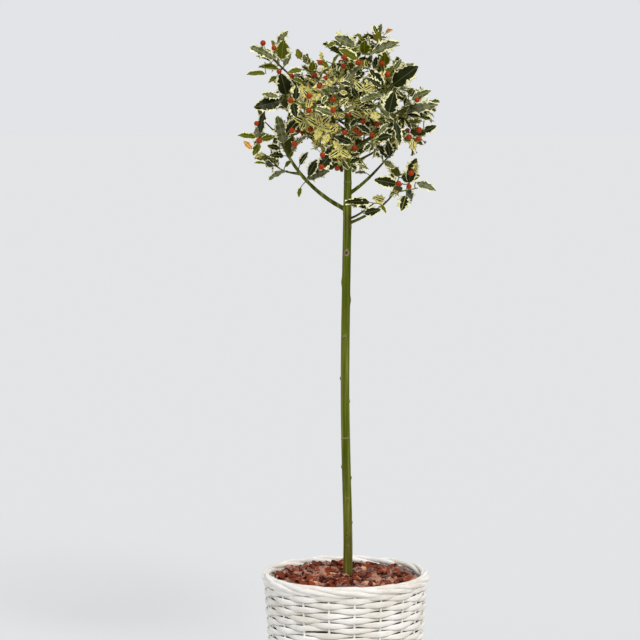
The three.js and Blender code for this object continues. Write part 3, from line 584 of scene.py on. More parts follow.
def addStakes(shape):
    values = basketValues
    top = values["wallTop"] + values["stakePastWall"]
    heights = np.linspace(values["stakeFoot"], top, values["stakeRings"])
    for number in range(values["stakeCount"]):
        outward = roundBasket(np.array(stakeAngle(number)))
        spots = [outward * (wallRadius(height) - values["weaverInset"]) + up * height for height in heights]
        addTube(shape, spots, values["stakeRadius"], values["stakeSides"])


# Strands that wind round each other all the way round the basket
def addRope(shape, rope):
    values = basketValues
    strands, turns = rope["strands"], rope["turns"]
    angle = 2 * np.pi * np.arange(values["ropeSteps"] + 1) / values["ropeSteps"]
    outward = roundBasket(angle)
    for strand in range(strands):
        phase = 2 * np.pi * strand / strands - turns * angle / strands
        rise = rope["crest"] * np.sin(turns * angle)
        loose = 1 + wandered(values["ropeWander"], angle, strand)
        radius = rope["radius"] + rope["halfWidth"] * np.cos(phase) * loose
        height = rope["height"] + rise + rope["halfHeight"] * np.sin(phase)
        spots = outward * radius[:, None] + up * height[:, None]
        size = rope["strandRadius"] * (1 + wandered(values["strandWander"], angle, strand))
        tilt = unitRows(up * np.cos(phase / 2)[:, None] ** 2 * values["strandTilt"] + up)
        addRibbon(shape, spots, outward, size, size * values["strandFlatness"], tilt, values["ropeSides"])


# The base is woven like the wall, out from its middle round spokes that lie flat
def addBase(shape):
    values = basketValues
    inner, outer = values["baseInner"], values["footRadius"] - values["baseInset"]
    angle = windingAngles(outer - inner)
    outward = roundBasket(angle)
    radius = inner + values["rowHeight"] * angle / (2 * np.pi)
    height = values["baseHeight"] + values["baseWeave"] * np.cos(values["stakeCount"] / 2 * angle)
    spots = outward * radius[:, None] + up * height[:, None]
    ones = np.ones(len(angle))
    addRibbon(
        shape, spots, np.tile(up, (len(angle), 1)), ones * values["baseHalfWidth"],
        ones * values["baseHalfThickness"], outward, values["baseSides"],
    )
    reaches = np.linspace(0, outer + values["spokePastWeave"], values["spokeRings"])
    for number in range(values["stakeCount"]):
        direction = roundBasket(np.array(2 * math.pi * number / values["stakeCount"]))
        spots = [direction * reach + up * values["baseHeight"] for reach in reaches]
        addTube(shape, spots, values["spokeRadius"], values["baseSides"])


# White emulsion brushed over willow: chalky, a little grey in broad patches, streaked along the rods
def paintedWillow():
    material, tree, shader = newMaterial("white_painted_willow", "#efece6", 0.6, ior=1.3)
    streaks = noise(tree, 60, stretch=(1, 1, 6), detail=4, roughness=0.6)
    patches = noise(tree, 14, detail=2)
    paint = ramp(tree, streaks, [(0.3, "#e0dbd2"), (0.5, "#f2efe9"), (0.75, "#f8f5f0")])
    worn = ramp(tree, patches, [(0.35, "#d6cdbf"), (0.6, "#ffffff")])
    tree.links.new(blend(tree, 0.55, paint, worn, "MULTIPLY"), shader.inputs["Base Color"])
    grain = noise(tree, 260, stretch=(1, 1, 4), detail=3, roughness=0.6)
    tree.links.new(spread(tree, grain, low=0.45, high=0.75), shader.inputs["Roughness"])
    addBump(tree, shader, grain, distance=0.0006, strength=0.5)
    return material


# Moist dark potting soil, seen only through the gaps of the weave
def pottingSoil():
    material, tree, shader = newMaterial("moist_potting_soil", "#2b211b", 0.95)
    crumbs = noise(tree, 180, detail=6, roughness=0.7)
    colour = ramp(tree, crumbs, [(0.3, "#17110d"), (0.55, "#2f241c"), (0.75, "#4a3a2d")])
    tree.links.new(colour, shader.inputs["Base Color"])
    addBump(tree, shader, crumbs, distance=0.002, strength=0.8)
    return material


def makeBasket():
    willow = [paintedWillow()]
    wall, border, foot = Shape(), Shape(), Shape()
    addWeaver(wall)
    addStakes(wall)
    makePiece("woven_wall", wall, willow, ["basket_wall"])
    addRope(border, basketValues["borderRope"])
    makePiece("plaited_border", border, willow, ["basket_border"])
    addRope(foot, basketValues["footRope"])
    addBase(foot)
    makePiece("woven_base", foot, willow, ["basket_base"])
    ball = frame["nodes"]["root_ball"]
    ball.material_slots[0].material = pottingSoil()


makeBasket()
print("basket made")


# Mulch: bark chips lying at all angles over a dark mound

mulchValues = {
    "radius": 130,
    "edgeTop": 272.5,
    "crownTop": 279.5,
    "chips": 400,
    "chipLengths": (19, 37),
    "chipWidthShares": (0.4, 0.68),
    "chipThicknesses": (2.6, 6.4),
    "tiltDegrees": 40,
    "trunkPlace": (3, 0),
    "trunkClear": 21,
    "edgeRoom": 9,
    "chipLifts": (-2.2, 3.6),
    "shownLift": 5,
    "chipCorners": 9,
    "cornerSwing": 0.3,
    "raggedness": (0.86, 1.08),
    "cups": (-1.4, 2.2),
    "roughness": 0.12,
    "seed": 41,
    "bedFoot": 263,
    "bedEdgeDrop": 8,
    "bedCrownDrop": 5,
    "bedCrownRadius": 40,
    "bedSides": 48,
}

# Rings of a chip from its underside up: size, and level as a share of its thickness
chipRings = ((0.5, -0.5), (0.86, -0.5), (1, -0.1), (0.9, 0.5), (0.5, 0.62))
chipMiddles = (-0.5, 0.66)

chipColours = {
    "bark_reddish_brown": "#7c3d29",
    "bark_dusty_pink": "#b17f6b",
    "bark_dark_brown": "#3f1c12",
    "bark_grey_mauve": "#7f645a",
    "bark_rust": "#8c3f20",
    "bark_pale_tan": "#dcae84",
}
chipShares = (0.27, 0.23, 0.2, 0.14, 0.13, 0.03)

# Painted light and shade on the chips: for each colour, the paler colour (partly also torn skin) and the
# darker one that faces dealt at random show
paintedLightColours = (1, 3, 0, 1, 1, 1)
paintedShadeColours = (2, 0, 0, 2, 0, 1)
paintedLightAndShadeShares = (0.1, 0.1)
paintedLightAndShadeDraw = seededRandom(43)

# Chips that show whole: middle across and deep, length, turns about X, Y and Z in degrees, and colour
shownChips = (
    (38, -86, 31, (52, 0, -4), "bark_pale_tan"), (-25, -14, 20, (45, 0, -20), "bark_pale_tan"),
    (-40, -16, 17, (38, 0, -30), "bark_pale_tan"), (-50, 66, 30, (30, 0, 4), "bark_dark_brown"),
    (26, 4, 25, (40, 0, 10), "bark_grey_mauve"), (-38, 34, 30, (25, 0, -5), "bark_dusty_pink"),
    (84, -52, 24, (40, 0, 12), "bark_dusty_pink"), (-88, -44, 30, (40, 0, 24), "bark_reddish_brown"),
    (-76, -8, 24, (42, 0, 8), "bark_dusty_pink"), (72, 8, 27, (48, 0, -40), "bark_rust"),
)


def groundHeight(distance):
    values = mulchValues
    share = min(distance / values["radius"], 1)
    return values["crownTop"] + (values["edgeTop"] - values["crownTop"]) * share * share


def addChip(shape, draw, middle, length, turns, slot):
    values = mulchValues
    width = length * between(draw, *values["chipWidthShares"])
    thickness = between(draw, *values["chipThicknesses"])
    corners, swing, rough = values["chipCorners"], values["cornerSwing"], values["roughness"]
    swings = np.array([between(draw, -swing, swing) for _ in range(corners)])
    angles = 2 * np.pi * (np.arange(corners) + swings) / corners
    ragged = np.array([between(draw, *values["raggedness"]) for _ in range(corners)])
    flat = np.stack((np.cos(angles) * length / 2, np.sin(angles) * width / 2), axis=-1) * ragged[:, None]
    cup = between(draw, *values["cups"]) / width
    rings = []
    for size, level in chipRings:
        ring = flat * size
        levels = level + np.array([between(draw, -rough, rough) for _ in range(corners)])
        rings.append(np.column_stack((ring, thickness * levels - cup * ring[:, 1] ** 2)))
    rings.append(np.array([[0, 0, level * thickness] for level in chipMiddles]))
    spots = np.concatenate(rings)
    for axis, degrees in enumerate(turns):
        spots = spots @ turning(axis, math.radians(degrees)).T
    faces = gridFaces(len(chipRings), corners, closed=True)
    under, above = len(chipRings) * corners, len(chipRings) * corners + 1
    shape.add(spots + middle, faces, paintedLightAndShadeSlots(slot, len(faces)))
    shape.addFaces(capFaces(corners, 0, under)[:, ::-1], slot)
    shape.addFaces(capFaces(corners, under - corners, above), paintedLightAndShadeSlots(slot, corners))


# Deals faces their chip's colour, a painted lighter one or a painted darker one
def paintedLightAndShadeSlots(slot, count):
    lightShare, shadeShare = paintedLightAndShadeShares
    picks = np.array([paintedLightAndShadeDraw() for _ in range(count)])
    return np.where(picks < lightShare, paintedLightColours[slot], np.where(picks > 1 - shadeShare, paintedShadeColours[slot], slot))


def turning(axis, angle):
    one, two = [number for number in range(3) if number != axis]
    matrix = np.eye(3)
    matrix[one, one] = matrix[two, two] = math.cos(angle)
    matrix[one, two] = -math.sin(angle)
    matrix[two, one] = math.sin(angle)
    return matrix


# Dry bark chips, rough, each of one of a few browns
def chipMaterials():
    grain = {"scale": 420, "stretch": (1, 2.5, 1), "detail": 4, "roughness": 0.65}
    return grained(chipColours, 0.85, grain, {"distance": 0.0016, "strength": 0.9}, ior=1.2)


def pickShare(value, shares):
    for number, share in enumerate(shares):
        value -= share
        if value < 0:
            return number
    return 0


def makeMulch():
    values = mulchValues
    draw = seededRandom(values["seed"])
    tilt = values["tiltDegrees"]
    shape = Shape()
    for number in range(values["chips"]):
        distance = (values["radius"] - values["edgeRoom"]) * math.sqrt((number + 0.5) / values["chips"])
        angle = number * goldenAngle
        middle = vector((distance * math.cos(angle), distance * math.sin(angle), 0))
        fromTrunk = middle[:2] - vector(values["trunkPlace"])
        if norm(fromTrunk) < values["trunkClear"]:
            continue
        middle[2] = groundHeight(distance) + between(draw, *values["chipLifts"])
        turns = (between(draw, -tilt, tilt), between(draw, -tilt, tilt), between(draw, 0, 360))
        length = between(draw, *values["chipLengths"])
        addChip(shape, draw, middle, length, turns, pickShare(draw(), chipShares))
    for across, deep, length, turns, name in shownChips:
        middle = vector((across, deep, groundHeight(math.hypot(across, deep)) + values["shownLift"]))
        addChip(shape, draw, middle, length, turns, list(chipColours).index(name))
    makePiece("bark_chips", shape, chipMaterials(), ["bark_mulch"], smooth=False)
    mound = Shape()
    edge, crest = values["edgeTop"] - values["bedEdgeDrop"], values["crownTop"] - values["bedCrownDrop"]
    heights = (values["bedFoot"], edge, crest)
    radii = [values["radius"], values["radius"], values["bedCrownRadius"]]
    addTube(mound, [up * height for height in heights], radii, values["bedSides"])
    makePiece("mulch_bed", mound, [bpy.data.materials["moist_potting_soil"]], [])


makeMulch()
print("mulch made")


# Trunk and boughs: smooth green young bark with knots, bud scars and the marks of cut twigs

trunkBends = ((3, 0, 262.3), (4, 0, 335), (-1.6, 2, 620), (2.9, 0, 1000), (1.8, -2, 1146))
trunkCurve = smoothCurve(trunkBends)

trunkValues = {
    "foot": 262.3,
    "tip": 1146,
    "footRadius": 8.3,
    "tipRadius": 2.8,
    "flare": 2.2,
    "flareHeight": 14,
    "evenThinning": 0.22,
    "crownThinning": 7,
    "pieces": 60,
    "knotHalfHeight": 7,
    "knotSharpness": 4,
    "scarShare": 0.85,
    "hollowShare": 0.6,
    "hollowSize": -0.75,
    "crownSwell": 0.6,
    "crownSwellHeight": 985,
    "crownSwellReach": 190,
    "reliefFullRadius": 5,
    "ridgeSize": 0.09,
    "wanderSize": 0.1,
    "wanderLength": 31,
    "wanderSeed": 71,
    "heightHalvings": 30,
    "rings": 442,
    "sides": 40,
}

# Lengthwise ridges: how many round the trunk, their twist with height, start angle and share
trunkRidges = ((7, 0.011, 0, 1), (13, -0.017, 1.3, 0.6))

boughValues = {
    "roomPieces": 8,
    "rings": 44,
    "sides": 18,
    "wanderSize": 0.16,
    "wanderLength": 9,
    "wanderSeed": 81,
    "nodeSize": 0.28,
    "nodeLength": 3.9,
    "nodeSharpness": 8,
    "footSwell": 1.6,
    "footSwellLength": 9,
}

# Knots: height, direction in degrees from +X, and how far they stand out
trunkKnots = (
    (352, -75, 1.2), (421, -80, 1.3), (712, -95, 1.8), (778, -15, 1.6), (810, 205, 1.8), (862, -90, 1.6),
    (987, -60, 1.3),
)

# Small marks: height, direction, half height, half width in degrees, and how far they stand out
trunkScars = (
    (862, -92, 4.5, 26, -1.5), (862, -92, 7.5, 40, 0.9), (712, -97, 3.2, 22, 0.9), (712, -97, 1.6, 11, -0.8),
    (637, -168, 2.6, 20, 2.2), (596, -22, 2.6, 20, 2.2), (528, -90, 1.4, 180, 0.5), (421, -80, 1.8, 16, -0.7),
    (376, -22, 2.4, 18, 1.7), (353, -96, 2.0, 16, -0.9), (987, -90, 1.3, 180, 0.45), (335, -88, 1.2, 10, 0.7),
    (905, 60, 3.0, 22, 1.1), (760, 130, 3.2, 20, 1.2), (655, 80, 2.4, 18, 1.0), (480, 150, 2.6, 18, 1.1),
    (477, -172, 2.4, 18, 1.9), (457, -14, 2.6, 20, 2.0), (933, -160, 4.5, 30, 0.8), (909, -20, 4.5, 28, 0.8),
)

boughRows = {
    "bough_left": {"height": 938, "bend": (-74, -6, 975), "tip": (-110, -12, 1050), "radii": (3.8, 2.5)},
    "bough_right": {"height": 966, "bend": (28, -4, 982), "tip": (52, -8, 1008), "radii": (3.2, 2.3)},
    "bough_low_right": {"height": 914, "bend": (30, -6, 924), "tip": (62, -12, 946), "radii": (2.6, 1.9)},
    "bough_left_mid": {"height": 1040, "bend": (-42, -4, 1076), "tip": (-80, -12, 1112), "radii": (2.9, 2.1)},
    "bough_upper_left": {"height": 1072, "bend": (-40, -8, 1110), "tip": (-88, -16, 1165), "radii": (2.8, 2)},
    "bough_upper_right": {"height": 1082, "bend": (18, -4, 1116), "tip": (34, -8, 1156), "radii": (2.8, 2)},
    "bough_right_mid": {"height": 1034, "bend": (50, -4, 1070), "tip": (84, -12, 1106), "radii": (2.9, 2.1)},
    "bough_back_left": {"height": 1026, "bend": (-42, 28, 1042), "tip": (-68, 46, 1072), "radii": (3.2, 2.3)},
    "bough_back_right": {"height": 1032, "bend": (42, 28, 1044), "tip": (68, 46, 1070), "radii": (3.2, 2.3)},
    "bough_back": {"height": 1046, "bend": (0, 36, 1064), "tip": (0, 60, 1096), "radii": (3, 2.2)},
    "spur_left_outer": {
        "parent": "bough_left", "share": 0.66, "bend": (-98, 0, 1004), "tip": (-110, 2, 1008),
        "radii": (1.9, 1.5),
    },
    "spur_left_inner": {
        "parent": "bough_left", "share": 0.55, "bend": (-70, -12, 992), "tip": (-68, -14, 996),
        "radii": (1.7, 1.4),
    },
}


def trunkPoint(height):
    low, high = 0, 1
    for _ in range(trunkValues["heightHalvings"]):
        middle = (low + high) / 2
        if trunkCurve.point(middle)[2] < height:
            low = middle
        else:
            high = middle
    return trunkCurve.point(low)


def trunkRadius(height):
    values = trunkValues
    share = np.clip((height - values["foot"]) / (values["tip"] - values["foot"]), 0, 1)
    flare = values["flare"] * np.exp(-(height - values["foot"]) / values["flareHeight"])
    lost = values["evenThinning"] * share + (1 - values["evenThinning"]) * share ** values["crownThinning"]
    return values["tipRadius"] + (values["footRadius"] - values["tipRadius"]) * (1 - lost) + flare


def makeLimbs():
    limbs = {}
    foot, tip = trunkValues["foot"], trunkValues["tip"]
    segments = curveSegments(
        trunkCurve, trunkValues["pieces"], lambda share: trunkRadius(foot + share * (tip - foot)))
    for name, row in boughRows.items():
        if "parent" in row:
            start = limbs[row["parent"]]["curve"].point(row["share"])
        else:
            start = trunkPoint(row["height"])
        curve = bentCurve(start, vector(row["bend"]), vector(row["tip"]))
        limbs[name] = {"curve": curve, "radii": row["radii"]}
        segments += curveSegments(curve, boughValues["roomPieces"], lambda share: row["radii"][0])
    return limbs, segments


def curveSegments(curve, count, radiusAt):
    spots = curve.points(count)
    return [(spots[number], spots[number + 1], radiusAt(number / count)) for number in range(count)]


def angleApart(angles, degrees):
    return (angles - math.radians(degrees) + np.pi) % (2 * np.pi) - np.pi


# How far the trunk's surface stands out at one height, for directions given from +X
def trunkRelief(height, angles):
    values = trunkValues
    relief = np.zeros(len(angles))
    for place, degrees, size in trunkKnots:
        rise = (height - place) / values["knotHalfHeight"]
        facing = np.maximum(0, np.cos(angleApart(angles, degrees)))
        relief += size * math.exp(-rise * rise) * facing ** values["knotSharpness"]
    for place, degrees, halfHeight, halfWidth, size in trunkScars:
        rise = (height - place) / halfHeight
        across = angleApart(angles, degrees) / math.radians(halfWidth)
        relief += size * math.exp(-rise * rise) * np.exp(-np.where(halfWidth < 180, across, 0) ** 2)
    ridges = 0
    for count, twist, start, share in trunkRidges:
        ridges = ridges + share * np.sin(count * angles + twist * height + start)
    aboveSwell = (height - values["crownSwellHeight"]) / values["crownSwellReach"]
    swell = values["crownSwell"] * math.exp(-aboveSwell ** 2)
    uneven = values["wanderSize"] * wander(height / values["wanderLength"], values["wanderSeed"])
    return relief + swell + values["ridgeSize"] * ridges + uneven


# Which bark covers each face: 0 green, 1 corky, 2 the sunken middle of an old cut, partly the old wood's own
# dark brown and partly painted shade in the hollow
def barkSlots(heights, angles):
    slots = np.zeros(len(heights), dtype=int)
    for place, degrees, halfHeight, halfWidth, size in trunkScars:
        across = np.where(halfWidth < 180, angleApart(angles, degrees) / math.radians(halfWidth), 0)
        share = np.hypot((heights - place) / halfHeight, across)
        slots[(share < trunkValues["scarShare"]) & (slots == 0)] = 1
        slots[(share < trunkValues["hollowShare"]) & (size < trunkValues["hollowSize"])] = 2
    return slots


# Green holly bark: olive with paler lengthwise streaks, browner low down and at the scars
def hollyBark():
    material, tree, shader = newMaterial("green_holly_bark", "#4a5408", 0.5, ior=1.15)
    streaks = noise(tree, 420, stretch=(1, 1, 0.07), detail=4, roughness=0.6)
    bands = noise(tree, 150, stretch=(1, 1, 0.035), detail=2, roughness=0.5)
    flecks = noise(tree, 900, stretch=(1, 1, 0.5), detail=2, roughness=0.7)
    patches = noise(tree, 26, stretch=(1, 1, 0.5), detail=3, roughness=0.6)
    green = ramp(tree, bands, [(0.3, "#2f3904"), (0.47, "#4a5408"), (0.58, "#646c1f"), (0.7, "#8d8d52")])
    brown = ramp(tree, streaks, [(0.35, "#54431d"), (0.65, "#7c6c3c")])
    place = addNode(tree, "ShaderNodeTexCoord")
    height = addNode(tree, "ShaderNodeSeparateXYZ", {0: place.outputs["Object"]}).outputs["Z"]
    low = mapped(tree, height, {"From Min": 0.28, "From Max": 0.52, "To Min": 0.36, "To Max": 0.0})
    worn = mapped(tree, patches, {"From Min": 0.5, "From Max": 0.72, "To Max": 0.55})
    share = addNode(tree, "ShaderNodeMath", {0: low, 1: worn}, operation="ADD").outputs["Value"]
    mixed = blend(tree, share, green, brown)
    spots = mapped(tree, flecks, {"From Min": 0.66, "From Max": 0.74, "To Max": 0.55})
    colour = blend(tree, spots, mixed, linear("#9a9464"))
    tree.links.new(colour, shader.inputs["Base Color"])
    tree.links.new(spread(tree, streaks, low=0.38, high=0.6), shader.inputs["Roughness"])
    addBump(tree, shader, streaks, distance=0.0009, strength=0.8)
    return material


# Corky brown bark of knots, leaf scars and cut marks
def scarBark(name, dark, light):
    material, tree, shader = newMaterial(name, dark, 0.75, ior=1.2)
    grain = noise(tree, 700, stretch=(1, 1, 0.6), detail=4, roughness=0.65)
    tree.links.new(ramp(tree, grain, [(0.3, dark), (0.7, light)]), shader.inputs["Base Color"])
    addBump(tree, shader, grain, distance=0.0009, strength=0.9)
    return material


def makeTrunk():
    values = trunkValues
    trunk = Shape()
    heights = np.linspace(values["foot"], values["tip"], values["rings"])
    radii = [trunkRadius(height) for height in heights]
    sides = values["sides"]

    def relief(ring, angles):
        return trunkRelief(heights[ring], angles) * min(1, radii[ring] / values["reliefFullRadius"])

    spots = [trunkPoint(height) for height in heights]
    addTube(trunk, spots, radii, sides, start=vector((1, 0, 0)), shapeAt=relief)
    # The foot, with the middle of its cap, lies flat on the soil
    corners = trunk.corners[0]
    corners[:sides, 2] = values["foot"]
    corners[-2, 2] = values["foot"]
    ring, side = np.divmod(np.arange(len(trunk.faces[0])), sides)
    trunk.slots[0] = barkSlots(heights[ring], 2 * np.pi * (side + 0.5) / sides)
    scars = [scarBark("corky_scar_bark", "#43331c", "#a39670"), scarBark("cut_hollow", "#1f170c", "#4d3c20")]
    makePiece("trunk_bark", trunk, [hollyBark(), *scars], ["trunk"])


def makeBoughs():
    values = boughValues
    boughs = Shape()
    shares = np.linspace(0, 1, values["rings"])
    for number, limb in enumerate(limbs.values()):
        along = shares * limb["curve"].length()
        thick, thin = limb["radii"]
        swell = wander(along / values["wanderLength"], number + values["wanderSeed"]) * values["wanderSize"]
        bumps = np.maximum(0, np.cos(along / values["nodeLength"])) ** values["nodeSharpness"]
        foot = values["footSwell"] * np.exp(-along / values["footSwellLength"])
        radii = thick + (thin - thick) * shares + swell + values["nodeSize"] * bumps + foot
        addTube(boughs, limb["curve"].at(shares), radii, values["sides"])
    makePiece("bough_bark", boughs, [bpy.data.materials["green_holly_bark"]], list(limbs))


limbs, limbSegments = makeLimbs()
makeTrunk()
makeBoughs()
print("trunk and boughs made")


# Crown: the part's rule of growth. Every mass grows from one stem inside its own space; a leaf or
# shoot that would leave the space or touch a limb, a twig or an earlier leaf is tried again, then left out.

growthValues = {
    "twigSides": 4,
    "shootSides": (0, 2),
    "leafSides": (0, 1, 2),
    "whorlTwist": -1.19,
    "stemLeafWhorls": 1,
    "stemFirstWhorlShare": 0.5,
    "stemBareShares": (0, 0.25),
    "stemPieces": 5,
    "trunkStemRadius": 2.4,
    "stemTipRadius": 1.2,
    "stemRoomRadius": 2,
    "trunkStemBend": {"share": 0.55, "sag": 0.12, "past": 0.3},
    "boughStemBend": {"share": 0.45, "past": 0.35},
    "limbGap": 0.3,
    "nodeHeight": 2.6,
    "leafWidthShare": 0.56,
    "leafTipDrop": 0.12,
    "leafReachShare": 0.7,
    "leafTries": 12,
    "leafLeanDegrees": (42, 74),
    "tipLeafLeanDegrees": (4, 26),
    "leafSwing": 0.35,
    "leafSwingGrowth": 0.25,
    "leafLengthShares": (0.86, 1.14),
    "leafShortening": 0.04,
    "leafFacing": {"random": 0.8, "up": 0.55, "outward": 0.7},
    "crownMiddle": (-2, 0, 1120),
    "limbRoom": 0.7,
    "twigRoom": 0.5,
    "spaceMargin": 0.6,
}

# How a shoot leaves its stem
shootRule = {
    "tries": 6, "leanDegrees": (34, 72), "swing": 0.4, "lift": 0.12, "lengthShares": (0.4, 0.62),
    "shortening": 0.08, "bareShare": 0.35, "whorls": 2, "firstWhorlShare": 0.45, "footRadius": 1.5,
    "tipRadius": 0.9,
}

# Mass: limb, height on the trunk, middle and radius of its space, whorls of shoots, seed, leaf length
massRows = {
    "top_left": ("bough_upper_left", 0, (-124, -20, 1200), 64, 2, 9, 48),
    "top_mid_left": ("trunk", 1100, (-56, -24, 1186), 54, 2, 13, 42),
    "leader": ("trunk_tip", 0, (0, -14, 1212), 54, 2, 6, 48),
    "top_right": ("bough_upper_right", 0, (62, -16, 1220), 56, 2, 1, 48),
    "right_upper": ("trunk", 1062, (82, -24, 1168), 58, 2, 2, 52),
    "right": ("bough_right_mid", 0, (116, -18, 1122), 56, 2, 8, 52),
    "right_lower": ("trunk", 1020, (92, -22, 1074), 58, 2, 13, 50),
    "right_under": ("bough_right", 0, (74, -26, 1034), 48, 1, 2, 46),
    "low_right": ("bough_low_right", 0, (82, -18, 968), 74, 2, 12, 48),
    "low_inner": ("trunk", 922, (38, -34, 946), 50, 2, 6, 44),
    "left_mid": ("bough_left_mid", 0, (-110, -18, 1138), 56, 2, 16, 52),
    "left_lower": ("bough_left", 0, (-128, -14, 1078), 62, 2, 13, 50),
    "left_under": ("spur_left_outer", 0, (-130, 2, 1024), 50, 1, 8, 34),
    "left_inner": ("spur_left_inner", 0, (-62, -20, 1014), 46, 1, 10, 38),
    "front_left": ("trunk", 1078, (-48, -70, 1130), 64, 2, 1, 44),
    "front_right": ("trunk", 1084, (32, -72, 1136), 64, 2, 12, 44),
    "front_low": ("trunk", 1030, (-4, -58, 1068), 60, 2, 14, 44),
    "front_low_right": ("trunk", 1050, (52, -56, 1080), 56, 2, 1, 44),
    "front_low_left": ("trunk", 1054, (-62, -52, 1076), 56, 2, 13, 44),
    "front_top": ("trunk", 1114, (-6, -56, 1178), 56, 2, 7, 44),
    "back_top": ("trunk", 1120, (2, 50, 1198), 60, 2, 15, 50),
    "back_left_upper": ("trunk", 1088, (-76, 52, 1158), 62, 2, 6, 50),
    "back_right_upper": ("trunk", 1104, (78, 52, 1158), 62, 2, 10, 50),
    "back_left": ("bough_back_left", 0, (-92, 66, 1084), 62, 2, 5, 50),
    "back_right": ("bough_back_right", 0, (90, 66, 1082), 62, 2, 11, 50),
    "back": ("bough_back", 0, (0, 92, 1116), 62, 2, 8, 50),
    "back_low": ("trunk", 1022, (-2, 60, 1050), 54, 2, 15, 48),
}

# A simple leaf, as tested for room: root, one side, tip, other side, then its rib; along, across, lift
leafCorners = (
    (0, 0, 0), (0.3, 0.47, 0.05), (0.66, 0.42, 0.04), (1, 0, 0), (0.66, -0.42, 0.04), (0.3, -0.47, 0.05),
    (0.42, 0, 0.011),
)
leafTip = 3
leafRib = 6
leafEdges = np.array((
    (0, 1), (0, 6), (0, 3), (1, 2), (1, 6), (1, 3), (2, 3), (2, 6), (3, 4), (3, 6), (4, 5), (4, 6), (4, 3),
    (5, 0), (5, 6), (5, 3),
))
leafFaces = np.array((
    (6, 0, 1), (3, 0, 1), (6, 1, 2), (3, 1, 2), (6, 2, 3), (6, 3, 4), (6, 4, 5), (3, 4, 5), (6, 5, 0),
    (3, 5, 0),
))


# What is grown or placed, with whatever values it needs
class Thing:
    def __init__(self, **values):
        self.__dict__.update(values)


def leafSpots(root, along, leafUp, length):
    across = unit(np.cross(along, leafUp))
    shares = np.array(leafCorners, dtype=float)
    lift = shares[:, 2] - growthValues["leafTipDrop"] * shares[:, 0] ** 2
    lift[0] = 0
    side = shares[:, 1] * growthValues["leafWidthShare"]
    offsets = shares[:, 0, None] * along + side[:, None] * across + lift[:, None] * leafUp
    return root + offsets * length


# Shortest distances between straight pieces
def segmentsApart(startOne, endOne, startTwo, endTwo):
    one = endOne - startOne
    two = endTwo - startTwo
    away = startOne - startTwo
    oneSquare, twoSquare, both = (one * one).sum(-1), (two * two).sum(-1), (one * two).sum(-1)
    oneAway, twoAway = (one * away).sum(-1), (two * away).sum(-1)
    room = oneSquare * twoSquare - both * both
    crossing = room > 1e-9
    share = (both * twoAway - oneAway * twoSquare) / np.where(crossing, room, 1)
    shareOne = np.where(crossing, np.clip(share, 0, 1), 0)
    shareTwo = np.clip((both * shareOne + twoAway) / twoSquare, 0, 1)
    shareOne = np.clip((both * shareTwo - oneAway) / oneSquare, 0, 1)
    return norm(away + one * shareOne[..., None] - two * shareTwo[..., None], axis=-1)


# Whether any straight piece goes through any triangle
def anyThrough(starts, ends, corners):
    ways = (ends - starts)[:, None]
    first = (corners[:, 1] - corners[:, 0])[None]
    second = (corners[:, 2] - corners[:, 0])[None]
    normals = np.cross(first, second)
    facing = (ways * normals).sum(-1)
    sign = np.sign(facing)
    away = starts[:, None] - corners[None, :, 0]
    one = sign * (ways * np.cross(away, second)).sum(-1)
    two = sign * (ways * np.cross(first, away)).sum(-1)
    depth = -sign * (away * normals).sum(-1)
    size = np.abs(facing)
    inTriangle = (size > 0) & (one >= 0) & (two >= 0) & (one + two <= size)
    return bool((inTriangle & (depth >= 0) & (depth <= size)).any())


def inSpace(spots, mass):
    own = ((spots - mass.middle) ** 2).sum(-1) - mass.radius ** 2
    if (own >= 0).any():
        return False
    other = ((spots[:, None] - mass.nearMiddles) ** 2).sum(-1) - mass.nearRadii ** 2
    return bool(((other - own[:, None]) / mass.nearApart > growthValues["spaceMargin"]).all())


def makeMasses():
    masses = {}
    for name, (limb, height, middle, radius, whorls, seed, leaf) in massRows.items():
        masses[name] = Thing(
            name=name, limb=limb, height=height, middle=vector(middle), radius=radius, whorls=whorls,
            seed=seed, leaf=leaf,
        )
    for mass in masses.values():
        near = []
        for other in masses.values():
            apart = 2 * norm(other.middle - mass.middle)
            if other is not mass and apart < 2 * (other.radius + mass.radius):
                near.append((other, apart))
        mass.nearMiddles = np.array([other.middle for other, apart in near])
        mass.nearRadii = np.array([other.radius for other, apart in near])
        mass.nearApart = np.array([apart for other, apart in near])
    return masses


def stemCurve(mass):
    if mass.limb == "trunk":
        values = growthValues["trunkStemBend"]
        start = trunkPoint(mass.height)
        reach = mass.middle - start
        bend = start + reach * values["share"]
        bend[2] -= values["sag"] * norm(reach)
    else:
        values = growthValues["boughStemBend"]
        curve = trunkCurve if mass.limb == "trunk_tip" else limbs[mass.limb]["curve"]
        along = curve.tangent(1)
        start = curve.point(1) + along * growthValues["limbGap"]
        reach = mass.middle - start
        bend = start + along * (values["share"] * norm(reach))
    return bentCurve(start, bend, mass.middle + unit(reach) * (values["past"] * mass.radius))


# The radius of a twig at a share of its length
def twigRadius(twig, share):
    return twig.footRadius + (twig.tipRadius - twig.footRadius) * share


# Rings of a twig: its foot, any that only follow a bend, and two round each whorl
def twigRings(twig):
    half = growthValues["nodeHeight"] / 2 / twig.curve.length()
    stops = [(share, 0) for share in twig.bareShares]
    for whorl in range(twig.whorls):
        middle = twig.firstWhorlShare
        if twig.whorls > 1:
            middle += (1 - half - twig.firstWhorlShare) * whorl / (twig.whorls - 1)
        turn = whorl * growthValues["whorlTwist"]
        stops += [(middle - half, turn), (middle + half, turn)]
    across = twig.across
    rings = [] if twig.loop is None else [Thing(corners=twig.loop)]
    for share, turn in stops:
        along = twig.curve.tangent(share)
        across = squared(across, along)
        third = np.cross(along, across)
        centre = twig.curve.point(share)
        radius = twigRadius(twig, share)
        angles = turn + 2 * np.pi * np.arange(growthValues["twigSides"]) / growthValues["twigSides"]
        corners = centre + radius * (np.cos(angles)[:, None] * across + np.sin(angles)[:, None] * third)
        rings.append(Thing(centre=centre, along=along, corners=corners))
    return rings


def firstWhorlRing(twig):
    return len(twig.bareShares) + (0 if twig.loop is None else 1)


